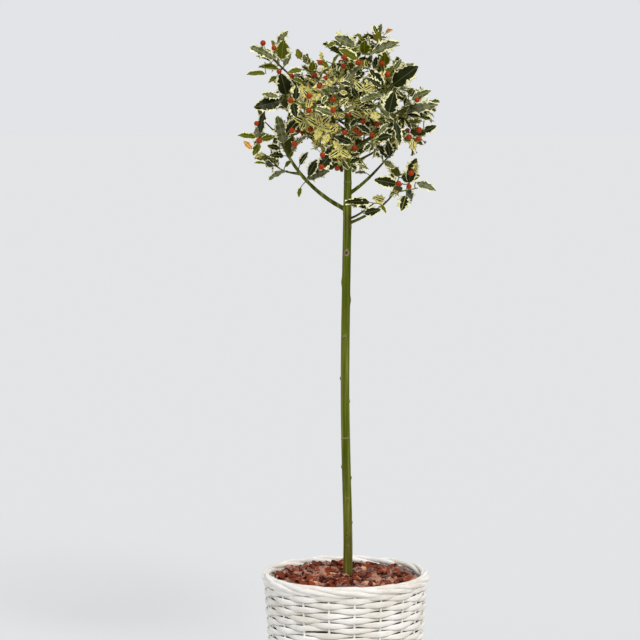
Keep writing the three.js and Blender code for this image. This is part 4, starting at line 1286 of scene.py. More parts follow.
def faceLoop(twig, ring, side):
    low = twig.rings[ring].corners
    if ring == len(twig.rings) - 1:
        return low
    beside = (side + 1) % growthValues["twigSides"]
    high = twig.rings[ring + 1].corners
    return np.array((low[side], low[beside], high[beside], high[side]))


def faceView(twig, ring, side):
    root = faceLoop(twig, ring, side).mean(axis=0)
    axis = twig.rings[ring].along
    if ring == len(twig.rings) - 1:
        return root, axis, leaningFrom(axis, math.pi / 2, 0)
    outward = root - twig.rings[ring].centre
    return root, axis, squared(outward, axis)


# A piece this short stands for a point
shortest = 1e-4


def leafClear(leaf, parts, room):
    if not len(parts[0]):
        return True
    starts, ends, radii = parts
    rib = leaf.spots[leafRib]
    near = segmentsApart(rib, rib + shortest, starts, ends) <= radii + room + leaf.length
    if not near.any():
        return True
    starts, ends, reach = starts[near], ends[near], radii[near] + room
    edges = leaf.spots[leafEdges]
    if (segmentsApart(edges[:, 0, None], edges[:, 1, None], starts, ends) <= reach).any():
        return False
    return not anyThrough(starts, ends, leaf.spots[leafFaces])


def crossesLeaves(leaf, grown):
    if not grown.leaves:
        return False
    spots = np.array([other.spots for other in grown.leaves])
    lengths = np.array([other.length for other in grown.leaves])
    reach = growthValues["leafReachShare"] * (lengths + leaf.length)
    near = spots[norm(spots[:, leafRib] - leaf.spots[leafRib], axis=-1) <= reach]
    if not len(near):
        return False
    edges = leaf.spots[leafEdges]
    nearEdges = near[:, leafEdges].reshape(-1, 2, 3)
    return anyThrough(edges[:, 0], edges[:, 1], near[:, leafFaces].reshape(-1, 3, 3)) \
        or anyThrough(nearEdges[:, 0], nearEdges[:, 1], leaf.spots[leafFaces])


def partsExcept(grown, twig):
    rows = [part for part in grown.twigParts if part[3] is not twig.owner]
    return tuple(np.array([row[place] for row in rows]) for place in range(3))


# Tries a leaf at one face of a twig until it stays in the mass's space and clear of what grew before
def tryLeaf(grown, twig, ring, side, leanDegrees, sizes=None, tries=None):
    values = growthValues
    draw = grown.draw
    root, axis, outward = faceView(twig, ring, side)
    facing = values["leafFacing"]
    away = unit(root - vector(values["crownMiddle"])) * facing["outward"]
    parts = partsExcept(grown, twig)
    for attempt in range(tries or values["leafTries"]):
        lean = math.radians(between(draw, *leanDegrees))
        swing = between(draw, -values["leafSwing"], values["leafSwing"])
        along = leaning(axis, outward, lean, swing * (1 + values["leafSwingGrowth"] * attempt))
        aside = between(draw, -facing["random"], facing["random"])
        deep = between(draw, -facing["random"], facing["random"])
        leafUp = squared(vector((aside, deep, facing["up"])) + away, along)
        length = grown.mass.leaf * between(draw, *(sizes or values["leafLengthShares"]))
        length *= 1 - values["leafShortening"] * attempt
        leaf = Thing(root=root, along=along, up=leafUp, length=length, broad=1, twig=twig)
        leaf.spots = leafSpots(root, along, leafUp, length)
        if inSpace(leaf.spots[1:], grown.mass) and leafClear(leaf, grown.limbParts, values["limbRoom"]) \
                and leafClear(leaf, parts, values["twigRoom"]) and not crossesLeaves(leaf, grown):
            grown.leaves.append(leaf)
            twig.count += 1
            return True
    return False


# Tries a shoot at one face of a twig until it stays in the space, clear of limbs and other shoots
def tryShoot(grown, twig, ring, side, rule):
    values = growthValues
    draw = grown.draw
    root, axis, outward = faceView(twig, ring, side)
    parts = tuple(np.array([row[place] for row in grown.twigParts]) for place in range(3))
    for attempt in range(rule["tries"]):
        lean = math.radians(between(draw, *rule["leanDegrees"]))
        along = leaning(axis, outward, lean, between(draw, -rule["swing"], rule["swing"]))
        along = unit(along + up * rule["lift"])
        share = between(draw, *rule["lengthShares"]) * (1 - rule["shortening"] * attempt)
        to = root + along * (grown.mass.radius * share)
        outer = root + (to - root) * rule["bareShare"]
        limbStarts, limbEnds, limbRadii = grown.limbParts
        limbRoom = segmentsApart(outer, to, limbStarts, limbEnds) - limbRadii - rule["tipRadius"]
        twigRoom = segmentsApart(outer, to, parts[0], parts[1]) - parts[2] - rule["tipRadius"]
        if inSpace(np.array((outer, to)), grown.mass) and (limbRoom > values["limbRoom"]).all() \
                and (twigRoom > 2 * values["twigRoom"]).all():
            loop = faceLoop(twig, ring, side)
            footRadius = min(norm(loop[0] - loop[2]) / 2, rule["footRadius"])
            shoot = Thing(
                loop=loop, across=loop[0] - root, curve=straightCurve(root, to), bareShares=(),
                whorls=rule["whorls"], firstWhorlShare=rule["firstWhorlShare"], footRadius=footRadius,
                tipRadius=rule["tipRadius"], count=0,
            )
            shoot.owner = shoot
            shoot.parent = twig.owner
            shoot.rings = twigRings(shoot)
            grown.shoots.append(shoot)
            grown.twigParts.append((root, to, footRadius, shoot))
            return shoot
    return None


def dressTwig(grown, twig, firstWhorl, sizes=None, tries=None):
    values = growthValues
    tryLeaf(grown, twig, len(twig.rings) - 1, 0, values["tipLeafLeanDegrees"], sizes, tries)
    for whorl in range(twig.whorls - 1, firstWhorl - 1, -1):
        for side in values["leafSides"]:
            ring = firstWhorlRing(twig) + 2 * whorl
            tryLeaf(grown, twig, ring, side, values["leafLeanDegrees"], sizes, tries)


def growMass(mass, otherParts):
    values = growthValues
    curve = stemCurve(mass)
    if mass.limb == "trunk":
        footRadius = values["trunkStemRadius"]
    else:
        footRadius = trunkValues["tipRadius"] if mass.limb == "trunk_tip" else limbs[mass.limb]["radii"][1]
    stem = Thing(
        loop=None, curve=curve, across=leaningFrom(curve.tangent(0), math.pi / 2, mass.seed),
        bareShares=values["stemBareShares"], whorls=mass.whorls + values["stemLeafWhorls"],
        firstWhorlShare=values["stemFirstWhorlShare"], footRadius=footRadius,
        tipRadius=values["stemTipRadius"], count=0,
    )
    stem.owner = stem
    stem.rings = twigRings(stem)
    own = curveSegments(curve, values["stemPieces"], lambda share: values["stemRoomRadius"])
    grown = Thing(
        mass=mass, draw=seededRandom(mass.seed), stem=stem, shoots=[], leaves=[],
        limbParts=tuple(np.array([part[place] for part in otherParts]) for place in range(3)),
        twigParts=[(*part, stem) for part in own],
    )
    for whorl in range(mass.whorls):
        for side in values["shootSides"]:
            ring = firstWhorlRing(stem) + 2 * whorl
            if tryShoot(grown, stem, ring, side, shootRule) is None:
                tryLeaf(grown, stem, ring, side, values["leafLeanDegrees"])
    dressTwig(grown, stem, mass.whorls)
    for shoot in grown.shoots:
        dressTwig(grown, shoot, 0)
    return grown


def growCrown():
    masses = makeMasses()
    stems = {}
    for mass in masses.values():
        stems[mass.name] = curveSegments(
            stemCurve(mass), growthValues["stemPieces"], lambda share: growthValues["trunkStemRadius"])
    crown = []
    for mass in masses.values():
        others = [part for name, stem in stems.items() if name != mass.name for part in stem]
        crown.append(growMass(mass, limbSegments + others))
    return crown


crown = growCrown()
print(f"crown grown: {sum(len(grown.leaves) for grown in crown)} leaves in {len(crown)} masses")


# Finer growth: short side shoots and smaller leaves between the whorls, by the same tests

fineValues = {
    "stemWhorls": 6,
    "shootWhorls": 5,
    "firstWhorlShare": 0.22,
    "leafSizes": (0.55, 0.9),
    "tries": 4,
    "shootChance": 0.34,
    "leafChance": 0.5,
    "innerReach": 95,
    "outerChance": 0.2,
    "bareMasses": (
        "low_right", "low_inner", "right_under", "left_under", "left_inner", "top_left", "left_lower",
    ),
    "furtherSeed": 100,
}
fineRule = {
    "tries": 3, "leanDegrees": (35, 80), "swing": 0.7, "lift": 0.1, "lengthShares": (0.2, 0.36),
    "shortening": 0.1, "bareShare": 0.3, "whorls": 1, "firstWhorlShare": 0.86, "footRadius": 0.9,
    "tipRadius": 0.7,
}


def growFine(grown):
    values = fineValues
    grown.draw = seededRandom(grown.mass.seed + values["furtherSeed"])
    for twig in [grown.stem, *grown.shoots]:
        whorls = values["stemWhorls"] if twig is grown.stem else values["shootWhorls"]
        across = leaningFrom(twig.curve.tangent(0), math.pi / 2, between(grown.draw, 0, 2 * math.pi))
        finer = Thing(
            loop=None, curve=twig.curve, across=across, bareShares=(), whorls=whorls,
            firstWhorlShare=values["firstWhorlShare"], footRadius=twig.footRadius, tipRadius=twig.tipRadius,
            owner=twig, count=0,
        )
        finer.rings = twigRings(finer)
        for ring in range(0, 2 * whorls - 1, 2):
            spot = finer.rings[ring].centre
            inner = math.hypot(spot[0], spot[1]) < values["innerReach"]
            for side in range(growthValues["twigSides"]):
                if not inner and grown.draw() > values["outerChance"]:
                    continue
                if grown.draw() < values["shootChance"]:
                    shoot = tryShoot(grown, finer, ring, side, fineRule)
                    if shoot is not None:
                        dressTwig(grown, shoot, 0, values["leafSizes"], values["tries"])
                        continue
                if grown.draw() < values["leafChance"]:
                    tryLeaf(grown, finer, ring, side, growthValues["leafLeanDegrees"], values["leafSizes"],
                            values["tries"])
    grown.shoots = [shoot for shoot in grown.shoots if shoot.count > 0]


for grown in crown:
    if grown.mass.name not in fineValues["bareMasses"]:
        growFine(grown)
print(f"finer growth: {sum(len(grown.leaves) for grown in crown)} leaves in all")


# Size of a leaf blade, as shares of its length; thickness, stalk and rib in millimetres
leafValues = {
    "petioleShare": 0.085,
    "petioleHalfWidth": 0.8,
    "halfWidthShare": 0.275,
    "thickness": 0.4,
    "spineRise": 1.2,
    "valley": 0.84,
    "spineForward": 0.035,
    "ribHalfWidth": 0.55,
    "ribMost": 0.6,
    "neckShare": 0.03,
    "neckWidth": 0.8,
    "tipHalfWidth": 0.25,
    "leastHalfWidth": 0.1,
    "firstSpine": 0.12,
    "spineSpan": 0.8,
    "spineCrowding": 0.96,
    "fullness": (0.8, 0.62),
    "twist": 0.35,
    "drops": (0.04, 0.2),
    "unevenness": 0.09,
    "marginWander": 1.6,
    "marginLimits": (0.12, 0.92),
    "marbleStart": 0.78,
    "marbleWander": 1.8,
    "marbleLimits": (0.5, 0.95),
    "marbleShares": (0.66, 0.82),
    "greyShare": 0.45,
    "sag": 0.3,
    "seed": 77,
    "massesAPiece": 9,
}

# Leaves that the photograph shows nearly whole: foot, tip and width in its pixels, and kind
photoLeaves = (
    (275.8, 59.2, 251.7, 45.8, 6.7, "grey"), (281.2, 60.5, 283.9, 40.7, 15, "olive"),
    (276.5, 43.8, 287.5, 31.3, 8, "grey"), (283.2, 67, 290.6, 53.6, 5.6, "grey"),
    (279.9, 69.2, 260.2, 64.3, 6.4, "olive"), (266.5, 73.3, 247.1, 72.9, 5.6, "olive"),
    (275.2, 50.1, 272.5, 40.7, 4, "young"), (271.2, 61.9, 256.8, 54.9, 2.1, "olive"),
    (300.6, 59.5, 297.3, 49.3, 6.7, "young"), (306, 63.9, 304, 55.2, 5.4, "grey"),
    (311.3, 71.9, 312.9, 61.6, 7.4, "olive"), (303.3, 69.6, 287.9, 72.3, 5.6, "olive"),
    (329.4, 67.5, 317.8, 59.6, 6, "olive"), (322, 59.5, 320.7, 52.5, 4, "inner"),
    (287.2, 96.7, 281.2, 74.3, 15, "dark"), (295.5, 100.7, 296.6, 87.1, 7.5, "dark"),
    (282.5, 100.7, 255.1, 106.3, 13.4, "dark"), (279.2, 97, 262.5, 93.7, 6.7, "grey"),
    (292.6, 102, 295.9, 116.4, 9.9, "dark"), (283.9, 145.2, 279.2, 117, 13.4, "grey"),
    (285.2, 136.2, 299, 116.4, 11.2, "mature"), (259.8, 135.5, 261.8, 111.7, 7, "dark"),
    (257.1, 137.5, 239, 133.5, 6.7, "olive"), (260.4, 139.3, 273.2, 137.1, 6.7, "olive"),
    (259.8, 142.2, 253.7, 154.9, 7.4, "olive"), (280.5, 148.9, 267.8, 145.2, 6.2, "dark"),
    (284.8, 155.9, 270.1, 154.3, 5.4, "dark"), (291.2, 152.9, 300.9, 135.5, 5.9, "grey"),
    (299.3, 165.7, 306.2, 151.9, 5.9, "mature"), (286.6, 170.4, 268.5, 176.5, 4.6, "grey"),
    (304.6, 180, 327.7, 168.7, 7.8, "grey"), (307.6, 177.3, 315.6, 159.4, 8, "dark"),
    (300.6, 187.1, 298.5, 196.1, 4.6, "olive"), (340.8, 90, 323.1, 89.5, 8, "grey"),
    (384.3, 95.4, 360.6, 97, 6.2, "grey"), (384.3, 88, 370.9, 69.2, 9.4, "dark"),
    (382.3, 88, 367.6, 76.9, 6.7, "dark"), (390.4, 87.3, 415.4, 66.2, 15, "dark"),
    (388.3, 114.1, 393.3, 93.1, 15.5, "dark"), (410.4, 100.7, 428.1, 89.1, 8, "grey"),
    (403.7, 113.4, 436.2, 100.7, 10.2, "grey"), (403.7, 114.8, 433.5, 117.3, 8.3, "mature"),
    (423.2, 131.5, 435.3, 126.2, 7.5, "dark"), (393.7, 119.5, 401.9, 143.2, 7.5, "dark"),
    (374.9, 139.8, 391.2, 134.6, 7, "dark"), (352.9, 143.8, 335.8, 135.3, 8.3, "dark"),
    (389, 158.3, 376.7, 144.6, 6.7, "dark"), (390.4, 157.8, 387.4, 141.6, 8.3, "dark"),
    (383.7, 161, 394.6, 167.7, 7, "grey"), (334.8, 115, 317, 106.5, 8, "grey"),
    (342.8, 112.8, 354.5, 105.8, 4.8, "grey"), (374.9, 106.1, 359.9, 107.7, 6.2, "dark"),
    (356.2, 47.1, 336.5, 36.2, 9.4, "grey"), (364.2, 54.6, 364.6, 41.5, 11.5, "olive"),
    (358.9, 60, 339.9, 48.7, 8.3, "olive"), (336.1, 42.3, 325.8, 46.6, 4.8, "olive"),
    (332.8, 64, 337.6, 53.6, 2.7, "olive"), (369.6, 54.1, 396.5, 40.2, 9.4, "grey"),
    (377, 42.1, 379, 31.7, 8, "young"), (379.6, 32.7, 380.4, 24.8, 4, "grey"),
    (385, 34, 391.2, 29.5, 3.2, "flush"), (385, 65.4, 384.2, 53.6, 10.7, "olive"),
    (394.4, 69.9, 400.8, 59.6, 6, "grey"), (368.9, 68.8, 365.4, 60.3, 6.7, "inner"),
    (431.2, 100.7, 438.8, 101.4, 3.5, "olive"), (408.4, 184.4, 413.4, 158.7, 10.7, "dark"),
    (397.7, 184, 376, 179.5, 11.5, "dark"), (415.1, 181.9, 435.6, 188, 8, "grey"),
    (406.4, 194.5, 401.1, 209.5, 11.2, "mature"), (385, 201.2, 372.7, 196.9, 8.3, "inner"),
    (371.6, 202.5, 345.9, 198.2, 8, "dark"), (355.3, 200.5, 366, 208.1, 6.2, "dark"),
    (362.9, 213.5, 379.9, 209.2, 8.8, "dark"), (380.7, 203.8, 386.1, 212.1, 3.5, "olive"),
    (368.9, 169.3, 357.9, 163.4, 4, "grey"), (366.9, 173, 355.5, 171.2, 2.7, "grey"),
    (411.8, 138.2, 413.4, 150.5, 5.6, "inner"), (320.7, 126.2, 307.3, 118.1, 8, "inner"),
    (320.7, 126.2, 316.7, 113.4, 7.5, "inner"), (320.7, 126.2, 330.4, 115.7, 7.5, "inner"),
    (320.7, 126.8, 334.8, 128.8, 8, "inner"), (320.7, 126.8, 315.4, 138.9, 7.5, "inner"),
    (304.6, 122.1, 293.9, 116.8, 6.7, "inner"), (304.6, 122.1, 300.9, 130.2, 5.9, "inner"),
    (310, 98, 302.6, 89.3, 7.5, "inner"), (310, 98, 320.7, 95.4, 6.7, "inner"),
    (310, 98, 308, 108.7, 6.7, "inner"), (328.7, 132.9, 338.1, 124.8, 6.7, "inner"),
    (328.7, 132.9, 323.4, 143.6, 6.7, "inner"), (363.6, 90, 372.9, 84.6, 6.2, "inner"),
    (363.6, 90, 355.5, 82, 6.2, "inner"), (370.3, 114.1, 363.6, 107.4, 6.2, "inner"),
    (370.3, 114.1, 379.6, 116.8, 6.7, "inner"), (339.5, 150.3, 328.7, 157, 6.7, "inner"),
    (339.5, 150.3, 350.2, 157, 6.7, "inner"), (339.5, 150.3, 334.1, 140.9, 5.9, "inner"),
    (277, 76, 268.5, 82, 4.5, "olive"), (297, 87, 292.5, 80, 3.5, "dark"),
    (321, 89.5, 334, 81.5, 4.5, "inner"), (328, 84, 320, 80, 4, "grey"),
    (314, 79, 306, 74.5, 2.5, "dark"), (303.5, 83.5, 295, 77.5, 4.5, "olive"),
    (364, 65, 343, 79.5, 6, "grey"), (351.5, 85, 340.5, 82, 4.5, "dark"), (375, 67, 376, 57, 5, "dark"),
    (404, 97, 397.5, 89.5, 4, "dark"), (404, 106, 405.5, 98, 3, "dark"),
    (404.5, 105.5, 411, 103, 3.5, "grey"), (408, 95, 411.5, 88.5, 3.5, "olive"),
    (361, 41, 357.5, 34, 3, "young"), (370, 44, 368, 36, 3, "grey"), (296, 144.5, 307, 134.5, 4, "grey"),
    (331, 154, 319.5, 168, 12, "dark"), (252, 149, 244.5, 141.5, 5.5, "flush"),
    (266, 163.5, 254.5, 162, 2.5, "olive"), (279, 163, 272.5, 157.5, 3, "young"),
    (284.5, 167, 290, 160.5, 3, "olive"), (264, 153.5, 255.5, 156.5, 4, "inner"),
    (370.5, 133, 358, 124.5, 5, "dark"), (379, 134, 387, 123.5, 6, "grey"),
    (404.5, 118.5, 411.5, 127.5, 4, "dark"), (396, 131, 397.5, 146.5, 5, "inner"),
    (371, 143.5, 363.5, 150.5, 4.5, "dark"), (380, 157, 374.5, 151.5, 4, "dark"),
    (349, 163.5, 360, 157.5, 4.5, "dark"), (347.5, 158, 359, 152, 4.5, "dark"),
    (351.5, 165, 356, 168, 3, "dark"), (389, 196, 397.5, 191, 4, "inner"),
    (414.5, 173, 416.5, 162.5, 4.5, "inner"), (345, 117, 338, 113.5, 5, "pale"),
    (350, 126, 356.5, 119, 5, "dark"), (351, 111.5, 361.5, 116.5, 6, "inner"),
    (339.5, 104.5, 348, 98.5, 6, "pale"), (357.5, 97.5, 352, 87.5, 6.5, "dark"),
    (345, 122, 349.5, 129.5, 5, "dark"), (338, 119, 334.5, 110.5, 5, "inner"),
    (362, 101, 353, 103.5, 6, "inner"), (315, 104.5, 323.5, 99.5, 5, "dark"),
    (304, 113.5, 312.5, 110, 5, "pale"), (327.5, 95, 322, 103, 5, "mature"),
    (347.5, 93.5, 339.5, 91.5, 4.5, "pale"),
)

# Where the photograph shows sky round and through the crown: middle and radius in its pixels
photoSky = (
    (307, 35, 14.5), (316, 46, 6.5), (295, 38, 5), (253, 33, 11), (270, 34, 6.5), (246, 55, 8),
    (252, 61, 4.5), (253, 83, 7.5), (267, 87, 4.5), (253, 93, 7.5), (247, 105, 7), (294, 63, 3),
    (288, 68, 2), (305, 50, 3.5), (312, 54, 4), (327, 53, 5), (327, 60, 3.5), (304, 75, 3), (280, 115, 5),
    (273, 118, 5.5), (247, 117, 6.5), (319, 69, 2), (415, 35, 16), (405, 52, 7), (429, 72, 12),
    (419, 82, 4), (435, 91, 6), (424, 96, 2.5), (345, 29, 4), (362, 29, 4.5), (368, 31, 2.5),
    (395, 29, 4.5), (338, 60, 3), (377, 103, 2), (415, 47, 10), (251, 114, 6), (244, 121, 6),
    (271, 121, 4), (272, 114, 4), (280, 114, 3.5), (269, 133, 2.5), (244, 141, 3), (244, 155, 6),
    (247, 163, 5), (258, 171, 6.5), (308, 146, 5.5), (310, 157, 3.5), (296, 155, 2.5), (306, 167, 3.5),
    (275, 189, 11), (258, 187, 9.5), (332, 183, 8), (330, 175, 3.5), (324, 188, 3.5), (313, 205, 9.5),
    (332, 216, 8), (283, 161, 2), (298, 136, 2), (345, 124, 3), (366, 139, 2), (364, 158, 4),
    (359, 178, 4), (380, 172, 4), (369, 185, 4), (364, 189, 2.5), (400, 155, 6.5), (408, 152, 3.5),
    (427, 154, 9.5), (430, 141, 5), (423, 167, 4), (433, 168, 6.5), (423, 193, 5.5), (417, 205, 5.5),
    (394, 213, 6.5), (380, 219, 4.5), (358, 211, 3), (441, 197, 5), (440, 120, 3.5), (405, 131, 2),
    (339, 183, 3.5), (339, 216, 3.5), (376, 192, 2), (411, 214, 6.5), (345, 21, 9), (366, 20, 9),
    (330, 33, 5),
)

# Berries that the photograph shows, in its pixels
photoBerries = (
    (263, 43), (274, 48), (279, 71.5), (292, 76), (314.5, 75), (325.5, 78), (320, 62.5), (344.5, 57),
    (343.5, 66), (358.5, 62.5), (382, 63.5), (387.5, 74.5), (319.5, 86), (309, 96), (290.5, 100.5),
    (333, 99), (309, 110.5), (333, 110.5), (348.5, 114), (256.5, 123.5), (259, 140.5), (292, 130.5),
    (310.5, 129.5), (294.5, 144), (363, 121), (377, 124), (344.5, 132.5), (356, 130), (360.5, 133.5),
    (372, 134.5), (354.5, 148), (322.5, 155), (321.5, 167), (337, 168.5), (411, 173), (398.5, 183.5),
    (409, 186.5), (409, 137), (418.5, 139), (419, 130), (417, 100),
)

photoValues = {
    "leafReach": 24,
    "frontPull": 0.3,
    "foremost": -118,
    "footForward": 4,
    "leastLength": 20,
    "leastInner": 15,
    "longestLength": 62,
    "lengthOver": 1.08,
    "seenWidthShare": 0.84,
    "broadest": 1.36,
    "berryForward": 9,
    "clearShare": 0.9,
    "clearDepth": 8,
    "berryClear": 4.6,
    "berryBeside": 1.5,
    "berryForemost": 10,
    "twigFrom": 0.25,
    "boughFrom": 0.3,
    "spotsEach": 8,
    "outOfReach": 1000,
    "ribShares": (0.2, 0.35, 0.5, 0.65, 0.8),
}


# Spots along the twigs and boughs, where a leaf or a berry's stalk can start
def twigSpots():
    values = photoValues
    rows = [(twig.curve, values["twigFrom"]) for grown in crown for twig in [grown.stem, *grown.shoots]]
    rows += [(limb["curve"], values["boughFrom"]) for limb in limbs.values()]
    return np.concatenate([curve.at(np.linspace(low, 1, values["spotsEach"])) for curve, low in rows])


# The twig spot that is near a pixel and far forward
def nearestTwig(place, spots, seen):
    values = photoValues
    away = norm(seen - np.array(place), axis=-1)
    score = away / mm * norm(cameraValues["spot"]) / cameraValues["focalPixels"]
    score = score + values["frontPull"] * spots[:, 1] + values["outOfReach"] * (away > values["leafReach"])
    return spots[np.argmin(score)]


# A leaf as the photograph shows it: it leans towards the camera as far as makes it as long as it is
# broad, and rolls as far as makes it look as narrow as it does
def placePhotoLeaves(spots, seen):
    values = photoValues
    leaves = []
    for footX, footY, tipX, tipY, width, kind in photoLeaves:
        twig = nearestTwig((footX, footY), spots, seen)
        deep = max(twig[1] - values["footForward"], values["foremost"])
        foot = unprojected(footX, footY, deep)
        tip = unprojected(tipX, tipY, deep)
        seenLength = norm(tip - foot)
        seenWidth = width * seenLength / math.hypot(tipX - footX, tipY - footY)
        widthShare = 2 * leafValues["halfWidthShare"] * values["seenWidthShare"]
        least = values["leastInner"] if kind in ("inner", "pale") else values["leastLength"]
        length = max(seenLength * values["lengthOver"], seenWidth / widthShare / values["broadest"], least)
        length = max(min(length, values["longestLength"]), seenLength)
        tip[1] -= math.sqrt(length ** 2 - seenLength ** 2)
        along = unit(tip - foot)
        facing = squared(vector(cameraValues["spot"]) / mm - foot, along)
        broad = seenWidth / (widthShare * length)
        roll = math.acos(min(broad, 1))
        side = np.cross(along, facing)
        side = side if side[2] > 0 else -side
        leafUp = unit(math.cos(roll) * facing + math.sin(roll) * side)
        leaves.append(Thing(
            root=foot, along=along, up=leafUp, length=length, broad=min(max(broad, 1), values["broadest"]),
            kind=kind, twigSpot=twig, foot=(footX, footY), tip=(tipX, tipY), width=width,
            depth=foot[1] + 0.5 * along[1] * length + values["clearDepth"],
        ))
    return leaves


# How far outside a leaf's seen shape pixels are: under 1 is inside
def seenShare(pixels, foot, tip, width):
    way = tip - foot
    long = np.maximum(norm(way, axis=-1), 1)
    away = pixels - (foot + tip) / 2
    along = (away * way).sum(-1) / long
    across = (away[..., 1] * way[..., 0] - away[..., 0] * way[..., 1]) / long
    return np.hypot(along / (long / 2), across / (width / 2))


def placeBerries(leaves, spots, seen):
    values = photoValues
    berries = []
    for place in photoBerries:
        twig = nearestTwig(place, spots, seen)
        deep = twig[1] - values["berryForward"]
        for leaf in leaves:
            share = seenShare(np.array(place), np.array(leaf.foot), np.array(leaf.tip), leaf.width)
            if share < values["berryBeside"]:
                deep = min(deep, leaf.root[1] + 0.5 * leaf.along[1] * leaf.length - values["berryForward"])
        berries.append((unprojected(*place, max(deep, values["foremost"] - values["berryForemost"])), twig))
    return berries


# Drops the grown leaves that would hide the sky, or the leaves and berries in front, that the
# photograph shows
def clearTheView(leaves, berries):
    values = photoValues
    feet = np.array([leaf.foot for leaf in leaves])
    tips = np.array([leaf.tip for leaf in leaves])
    widths = np.array([leaf.width for leaf in leaves])
    depths = np.array([leaf.depth for leaf in leaves])
    shares = np.array(values["ribShares"])[:, None, None]
    ribs = feet + (tips - feet) * shares
    berrySpots = np.array([berry for berry, twig in berries])
    berryPixels = projected(berrySpots)
    skyPlaces = np.array([row[:2] for row in photoSky])
    skyRadii = np.array([row[2] for row in photoSky])
    dropped = 0
    for grown in crown:
        kept = []
        for leaf in grown.leaves:
            seen = projected(leaf.spots)
            foot, tip = seen[0], seen[leafTip]
            way = (tip - foot) / max(norm(tip - foot), 1)
            wide = np.abs((seen - foot) @ np.array((-way[1], way[0]))).max()
            nearest = leaf.spots[:, 1].min()
            inFront = depths > nearest
            clear = values["berryClear"]
            hides = (norm(seen[:, None] - skyPlaces, axis=-1) < skyRadii).any() \
                or (seenShare(skyPlaces, foot, tip, 2 * wide) < 1).any() \
                or (seenShare(seen[:, None], feet, tips, widths) < values["clearShare"])[:, inFront].any() \
                or (seenShare(ribs, foot, tip, 2 * wide) < values["clearShare"])[:, inFront].any() \
                or (seenShare(berryPixels, foot - way * clear, tip + way * clear, 2 * wide + clear)
                    < 1)[berrySpots[:, 1] > nearest].any()
            if not hides:
                kept.append(leaf)
        dropped += len(grown.leaves) - len(kept)
        grown.leaves = kept
        bearing = {id(leaf.twig.owner) for leaf in kept}
        bearing |= {id(shoot.parent) for shoot in grown.shoots if id(shoot) in bearing}
        grown.shoots = [shoot for shoot in grown.shoots if id(shoot) in bearing]
    return dropped


places = twigSpots()
seenPlaces = projected(places)
shownLeaves = placePhotoLeaves(places, seenPlaces)
shownBerries = placeBerries(shownLeaves, places, seenPlaces)
dropped = clearTheView(shownLeaves, shownBerries)
print(f"{len(shownLeaves)} leaves and {len(shownBerries)} berries placed as shown")
print(f"{dropped} grown leaves dropped")


# Leaves: a spiny blade, glossy dark green in the middle with a cream margin of its own ragged width

# Holly leaf surfaces: waxy and smooth above, duller below
leafColours = {
    "holly_dark_green": "#202406",
    "holly_deep_green": "#2d2b0b",
    "holly_grey_green": "#52592f",
    # holly_sage is the grey-green of the leaf's marbling, made paler as a painted reflection of the sky
    "holly_sage": "#706f5a",
    "holly_olive": "#4d5202",
    "holly_light_olive": "#75771c",
    "holly_cream": "#f1edb9",
    "holly_yellow_cream": "#e0d06a",
    "holly_midrib": "#8f944a",
    "holly_new_growth": "#c97a48",
    # The undersides are a holly's paler underside green, darkened as painted shade of the crown's inside
    "holly_green_underside": "#454612",
    "holly_cream_underside": "#bdb673",
}
leafSlots = {name: number for number, name in enumerate(leafColours)}

# Kind of leaf: colours of its centre, marbling, margin and rib, share of the half width that the
# margin takes, spines a side, how far the spines lift, how far the blade folds up
leafKinds = {
    "mature": ("dark_green", "grey_green", "cream", "midrib", (0.27, 0.45), 5, 0.06, (0.05, 0.4)),
    "dark": ("dark_green", "dark_green", "cream", "grey_green", (0.17, 0.32), 5, 0.04, (0, 0.25)),
    # The grey kind is partly the leaf's grey-green marbling, partly a painted reflection of the sky
    "grey": ("sage", "deep_green", "cream", "midrib", (0.2, 0.36), 5, 0.05, (0.05, 0.3)),
    # The olive kind is painted backlight: the yellow-green of leaves with light coming through them
    "olive": ("olive", "light_olive", "cream", "light_olive", (0.16, 0.3), 4, 0.03, (0.05, 0.3)),
    "inner": ("deep_green", "light_olive", "yellow_cream", "cream", (0.4, 0.85), 5, 0.14, (0.2, 0.8)),
    "pale": ("deep_green", "light_olive", "cream", "yellow_cream", (0.4, 0.9), 5, 0.12, (0.2, 0.8)),
    "young": ("light_olive", "olive", "new_growth", "light_olive", (0.1, 0.25), 3, 0.02, (0.2, 0.6)),
    "flush": ("new_growth", "light_olive", "yellow_cream", "yellow_cream", (0.15, 0.35), 3, 0.02, (0.2, 0.6)),
}


def leafMaterials():
    materials = []
    for name, colour in leafColours.items():
        plain, low, high = (0.6, 0.5, 0.75) if "underside" in name else (0.3, 0.22, 0.44)
        material, tree, shader = newMaterial(name, colour, plain, ior=1.2)
        veins = noise(tree, 260, detail=3)
        tree.links.new(spread(tree, veins, low, high), shader.inputs["Roughness"])
        addBump(tree, shader, veins, distance=0.0008, strength=0.35)
        materials.append(material)
    return materials


def bladeWidth(share):
    inward, outward = leafValues["fullness"]
    return np.sin(np.pi * np.clip(share, 0, 1) ** inward) ** outward


# Places round a spine and at the tip: how far along, half width, how far forward, and lift
spinePlaces = (
    (-0.045, leafValues["valley"] + 0.06, 0, 0.4), (0.012, leafValues["spineRise"], 1, 1),
    (0.045, leafValues["valley"], 0, 0.3),
)
tipPlaces = ((0.965, 0.9, 0, 0), (1, 0.1, 0, 0))


# All the places along a blade, from the foot of its stalk
def bladePlaces(spines):
    values = leafValues
    start = values["petioleShare"]
    rows = [(place, 0, 0, 0) for place in (0, start, start + values["neckShare"])]
    for spine in range(spines):
        share = (spine / (spines - 1 or 1)) ** values["spineCrowding"]
        middle = start + values["firstSpine"] + (values["spineSpan"] - start) * share
        sign = 1 if spine % 2 else -1
        for away, edge, forward, lift in spinePlaces:
            rows.append((middle + away, edge, forward * values["spineForward"], lift * sign))
    return np.array([*rows, *tipPlaces]).T


